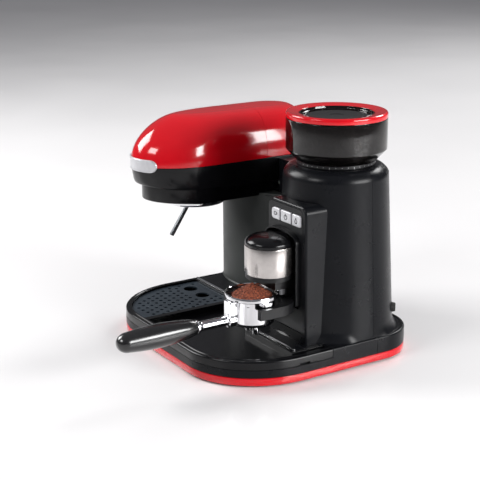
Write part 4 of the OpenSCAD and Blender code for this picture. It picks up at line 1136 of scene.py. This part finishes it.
def make_badge():
    """A blank plate with a raised border, bent round the nose."""
    badge = extent("badge_plate")
    half_w = (badge.x1 - badge.x0) / 2
    half_h = (badge.z1 - badge.z0) / 2
    columns, rows = 72, 14
    border, rise = 1.7, 1.25

    def spot(u, v, level):
        """A point of the plate, u and v from -1 to 1, with half-round ends."""
        z = v * half_h
        reach = half_w - half_h + math.sqrt(max(0, half_h ** 2 - z ** 2)) * 0.995
        x = u * reach
        nose_y = HEAD.y0 + FRONT_ROUND * (1 - math.sqrt(max(0, 1 - (x / HEAD_W) ** 2)))
        margin = min(half_h - abs(z), reach - abs(x))
        lip = rise if margin > 0.25 else rise * 0.4
        sunk = 0.45 if margin > border else 0
        return (HEAD_X + x, nose_y - (lip - sunk if level else -3), badge.cz + z)

    across = [math.sin(math.pi / 2 * (2 * i / columns - 1)) for i in range(columns + 1)]
    upward = [math.sin(math.pi / 2 * (2 * j / rows - 1)) for j in range(rows + 1)]
    bm = bmesh.new()
    faces = [[[bm.verts.new(spot(u, v, level)) for u in across] for v in upward] for level in (1, 0)]
    for face in faces:
        for low, high in zip(face, face[1:]):
            for i in range(columns):
                bm.faces.new((low[i], low[i + 1], high[i + 1], high[i]))
    outer, inner = (
        [f[0][i] for i in range(columns)] + [f[j][columns] for j in range(rows)]
        + [f[rows][i] for i in range(columns, 0, -1)] + [f[j][0] for j in range(rows, 0, -1)]
        for f in faces
    )
    for i in range(len(outer)):
        bm.faces.new((outer[i - 1], outer[i], inner[i], inner[i - 1]))
    bmesh.ops.remove_doubles(bm, verts=bm.verts, dist=0.001)
    piece("badge", bm, "badge_plate", smooth=35)


def make_ring_lip():
    lip = rounded([(36.5, 164.6), (41.5, 164.6), (43, 167), (43, 171), (36.5, 171)],
                  [1.2, 1.5, 1.5, 0.3, 0.3], 5)
    piece("lock_ring_lip", lathe(lip, (GROUP.cx, GROUP.cy, 0), loop=True, steps=128), "locking_ring",
          slot="chrome",
          replaces=False, smooth=50)


def make_wand():
    top = Vector((WAND_X, WAND_Y, 176))
    tip = Vector((WAND_X, -38.3, 106))
    along = (tip - top).normalized()
    path = [top + along * (tip - top).length * k / 40 for k in range(41)]
    thick = lambda t: 2.75 + 0.6 * t if t < 0.985 else 2.9
    rod = sweep(path, thick, 32)
    meridian = [math.radians(a) for a in range(0, 181, 9)]
    ball = lathe([(5 * math.sin(a), 5 * -math.cos(a)) for a in meridian], tuple(top), steps=48)
    bore = sweep([tip - along * 10, tip + along * 4], 1.6, 24)
    piece("wand_tube", joined(cut(rod, bore), ball), "steam_wand", smooth=40)


# ---- bean hopper ----

BOWL = extent("hopper_bowl")
RING = extent("hopper_lid_ring")
COLLAR = extent("adjust_collar")
HOPPER_AXIS = (BOWL.cx, BOWL.cy, 0)
HOPPER_R = (BOWL.x1 - BOWL.x0) / 2
THROAT_Z = 251
COLLAR_STEP_Z = 246.4
TICK_TOP_Z = 249.6
CONE_Z = 265
CONE_R = 50
LID_HOLE_R = 46.5
GLASS = 2.2


def make_hopper():
    r = HOPPER_R
    profile = rounded([(17, BOWL.z0), (20.6, BOWL.z0), (20.6, THROAT_Z), (CONE_R, THROAT_Z),
                       (r, CONE_Z + 0.6), (r, BOWL.z1), (r - GLASS, BOWL.z1), (r - GLASS, CONE_Z + 3),
                       (CONE_R - 2, THROAT_Z + 6), (17, THROAT_Z + 2)],
                      [0.4, 0.4, 0.4, 0.6, 1.0, 0.5, 0.5, 2.5, 2.5, 0.6], 4)
    piece("bowl_wall", lathe(profile, HOPPER_AXIS, steps=144, loop=True), "hopper_bowl", smooth=40)
    edge = CONE_R - 0.6
    shape = rounded([(21, COLLAR.z0), (34, COLLAR.z0), (34, COLLAR_STEP_Z), (edge, COLLAR_STEP_Z),
                     (edge, THROAT_Z), (21, THROAT_Z)],
                    [0.4, 0.4, 0.4, 0.6, 0.6, 0.4], 4)
    collar = lathe(shape, HOPPER_AXIS, steps=192, loop=True)
    piece("collar_ring", collar, "adjust_collar", smooth=40)
    ticks = []
    for k in range(24):
        turn = math.radians(-118 + 9 * k)
        height = 1.9 if k % 4 == 0 else 1.1
        tick = block(-0.22, 0.22, edge - 0.15, edge + 0.12, TICK_TOP_Z - height, TICK_TOP_Z)
        tick.transform(Matrix.Translation(HOPPER_AXIS) @ Matrix.Rotation(turn - math.pi / 2, 4, "Z"))
        ticks.append(tick)
    piece("collar_ticks", joined(*ticks), "adjust_collar", slot="silver_plate", replaces=False)


BEAN_ROWS = 5
BEANS_ROUND = 46


def bean(length, width):
    """A bean: a flattened oval with its crease."""
    bm = bmesh.new()
    bmesh.ops.create_uvsphere(bm, u_segments=14, v_segments=9, radius=1)
    for v in bm.verts:
        x, y, z = v.co
        z = z * 0.62 if z > 0 else z * 0.34
        if z < 0.05:
            z += 0.22 * math.exp(-(y / 0.16) ** 2) * (1 - x * x)
        v.co = (x * length / 2, y * width / 2, z * width)
    return bm


def make_beans():
    """Beans against the glass and on top, over a plain core."""
    box = extent("coffee_beans")
    r = HOPPER_R - GLASS - 0.6
    top = box.z1
    core = [(0, box.z0), (16.4, box.z0), (16.4, THROAT_Z + 2.6), (CONE_R - 5, THROAT_Z + 7.5),
            (r - 6, CONE_Z + 5),
            (r - 6, top - 10), (r - 16, top - 8), (0, top - 5)]
    piece("bean_core", lathe(core, HOPPER_AXIS), "coffee_beans")
    chance = random.Random(11)
    beans = []

    def lay(x, y, z, normal):
        spin = Matrix.Rotation(chance.uniform(0, 2 * math.pi), 4, "Z")
        tilt = Vector((normal[0] + chance.uniform(-0.4, 0.4), normal[1] + chance.uniform(-0.4, 0.4),
                       normal[2] + chance.uniform(-0.4, 0.4))).normalized()
        one = bean(chance.uniform(8.5, 10), chance.uniform(5.8, 6.8))
        flip = Matrix.Rotation(math.pi if chance.random() < 0.5 else 0, 4, "X")
        facing = tilt.to_track_quat("Z", "Y").to_matrix().to_4x4()
        one.transform(Matrix.Translation((x, y, z)) @ facing @ spin @ flip)
        beans.append(one)

    for row in range(BEAN_ROWS):
        for k in range(BEANS_ROUND):
            turn = 2 * math.pi * (k + 0.5 * (row % 2) + chance.uniform(-0.2, 0.2)) / BEANS_ROUND
            out = (math.cos(turn), math.sin(turn), 0)
            lay(HOPPER_AXIS[0] + (r - 4.6) * out[0], HOPPER_AXIS[1] + (r - 4.6) * out[1],
                CONE_Z + 5.5 + 5.4 * row, out)
    for ring, count in ((r - 7, 40), (r - 15, 34), (r - 23, 26), (r - 31, 19), (r - 39, 13), (r - 47, 8),
                        (r - 56, 3)):
        for k in range(count):
            turn = 2 * math.pi * (k + chance.uniform(-0.25, 0.25)) / count
            lay(HOPPER_AXIS[0] + ring * math.cos(turn), HOPPER_AXIS[1] + ring * math.sin(turn),
                top - 7.6 + 3.4 * (1 - ring / r), (0, 0, 1))
    piece("bean_layer", joined(*beans), "coffee_beans", replaces=False, smooth=60)


def make_lid():
    r = HOPPER_R
    z0, z1 = RING.z0, RING.z1
    base = BOWL.z1 + 0.3
    shape = rounded([(LID_HOLE_R + 4, z0), (r - GLASS - 0.6, z0), (r - GLASS - 0.6, base), (r, base),
                     (r, z1), (LID_HOLE_R + 0.5, z1 - 2.4), (LID_HOLE_R, base + 1), (LID_HOLE_R + 4,
                                                                                     base + 1)],
                    [0.4, 0.4, 0, 0.4, 2.8, 0.9, 0.4, 0.4], 6)
    piece("lid_ring", lathe(shape, HOPPER_AXIS, steps=144, loop=True), "hopper_lid_ring", smooth=40)
    window = extent("hopper_lid_window")
    w = LID_HOLE_R + 3.8
    liner = LID_HOLE_R - 0.1
    brim = z1 - 2.5
    disc = rounded([(0, window.z0), (w, window.z0), (w, window.z1), (liner, window.z1), (liner, brim),
                    (liner - 1.4, brim),
                    (liner - 2, window.z1 + 0.6), (9, window.z1 + 0.6), (7.4, window.z1), (0, window.z1)],
                   [0, 0.4, 0.4, 0, 0.4, 0.5, 1.5, 0.5, 0.5, 0], 4)
    piece("lid_window", lathe(disc, HOPPER_AXIS, steps=144), "hopper_lid_window", smooth=40)


# ---- CAD solids with their edges eased ----

INNER = ["shower_screen", "boiler", "pump", "steam_valve", "circuit_boards", "grinder_motor",
         "shaft_bearings",
         "burr_shaft", "lower_burr", "upper_burr", "drive_gear", "motor_pinion", "hoses_and_pipes",
         "grinding_chamber"]

# The piece's name, its node, the width and steps of its eased edges, and whether its normals are weighted.
EASED = [
    ("grate_plate", "tray_grate", 0.35, 2, True),
    ("trim_strips", "deck_trims", 0.4, 3, True),
    ("screws_set", "base_screws", 0.2, 2, False),
    ("underside_plate", "bottom_plate", 0.3, 2, False),
    ("rear_casing", "rear_housing", 1.2, 3, True),
    ("tank_shell", "water_tank", 0.6, 2, True),
    ("gland_bush", "cable_gland", 0.3, 2, False),
    ("outlet_housing", "outlet_arm", 0.7, 3, True),
    ("holder_fork", "portafilter_fork", 0.9, 3, True),
    ("chute_pipe", "grounds_chute", 0.2, 2, False),
    ("grind_lever", "grind_switch", 0.5, 3, True),
    ("group_body", "group_head", 0.6, 3, True),
    ("lock_ring", "locking_ring", 0.5, 2, True),
    ("group_seal", "group_gasket", 0.5, 2, False),
    ("steam_dial", "steam_knob", 0.6, 3, True),
] + [(node + "_part", node, 0.2, 2, False) for node in INNER]


def make_eased():
    for name, node, width, segments, weighted in EASED:
        piece(name, refined(node, width, segments), node, weighted=weighted)


# ---- floor and light ----

def make_floor():
    bm = bmesh.new()
    bmesh.ops.create_grid(bm, x_segments=1, y_segments=1, size=40)
    mesh = bpy.data.meshes.new("floor")
    bm.to_mesh(mesh)
    bm.free()
    floor = added("floor", mesh)
    look = Look("floor_white", (0.80, 0.79, 0.79), 0.32, Coat_Weight=0.1)
    look.rough(look.noise(400), 0.28, 0.36)
    mesh.materials.append(look.material)


def make_world():
    """Dark at the horizon, a soft ceiling above."""
    world = bpy.data.worlds.new("room")
    bpy.context.scene.world = world
    world.use_nodes = True
    tree = world.node_tree
    add = tree.nodes.new
    background = tree.nodes["Background"]
    split = add("ShaderNodeSeparateXYZ")
    tree.links.new(add("ShaderNodeTexCoord").outputs["Generated"], split.inputs["Vector"])
    ramp = add("ShaderNodeValToRGB")
    stops = [(0.0, (0.2, 0.2, 0.2)), (0.52, (0.10, 0.10, 0.105)), (0.7, (0.16, 0.16, 0.17)),
             (1.0, (0.32, 0.32, 0.34))]
    while len(ramp.color_ramp.elements) < len(stops):
        ramp.color_ramp.elements.new(0.5)
    for element, (position, color) in zip(ramp.color_ramp.elements, stops):
        element.position = position
        element.color = (*color, 1)
    lift = add("ShaderNodeMapRange")
    lift.inputs["From Min"].default_value = -1
    tree.links.new(split.outputs["Z"], lift.inputs["Value"])
    tree.links.new(lift.outputs["Result"], ramp.inputs["Fac"])
    tree.links.new(ramp.outputs["Color"], background.inputs["Color"])
    background.inputs["Strength"].default_value = 1


def softbox(name, place, target, width, height, power):
    light = bpy.data.lights.new(name, "AREA")
    light.shape = "RECTANGLE"
    light.size = width
    light.size_y = height
    light.energy = power
    lamp = added(name, light)
    lamp.location = place
    lamp.rotation_euler = (Vector(target) - Vector(place)).to_track_quat("-Z", "Y").to_euler()


def make_lights():
    aim = (0, 0, 0.15)
    softbox("window_right", (2.3, 0.9, 0.84), aim, 1.5, 0.8, 84)
    softbox("window_left", (-1.6, -1.15, 1.35), aim, 1.1, 1.1, 52)
    softbox("fill_front", (0.2, -2.9, 2.0), aim, 1.3, 0.7, 42)
    softbox("fill_back", (-0.8, 2.9, 2.2), aim, 1.8, 0.8, 75)


def set_tones():
    """Plain tones for the saturated red and the deep blacks."""
    bpy.context.scene.view_settings.view_transform = "Standard"


for make in (
    make_camera, dress_cad_nodes, make_base, make_tray, make_feet, make_column, make_front_shell,
    make_rear_shell, make_plate, make_keys, make_tamper, make_cup, make_basket, make_coffee, make_spout,
    make_handle, make_dome, make_head_sides, make_badge, make_ring_lip, make_wand, make_hopper, make_beans,
    make_lid, make_eased, make_floor, make_world, make_lights, set_tones,
):
    make()
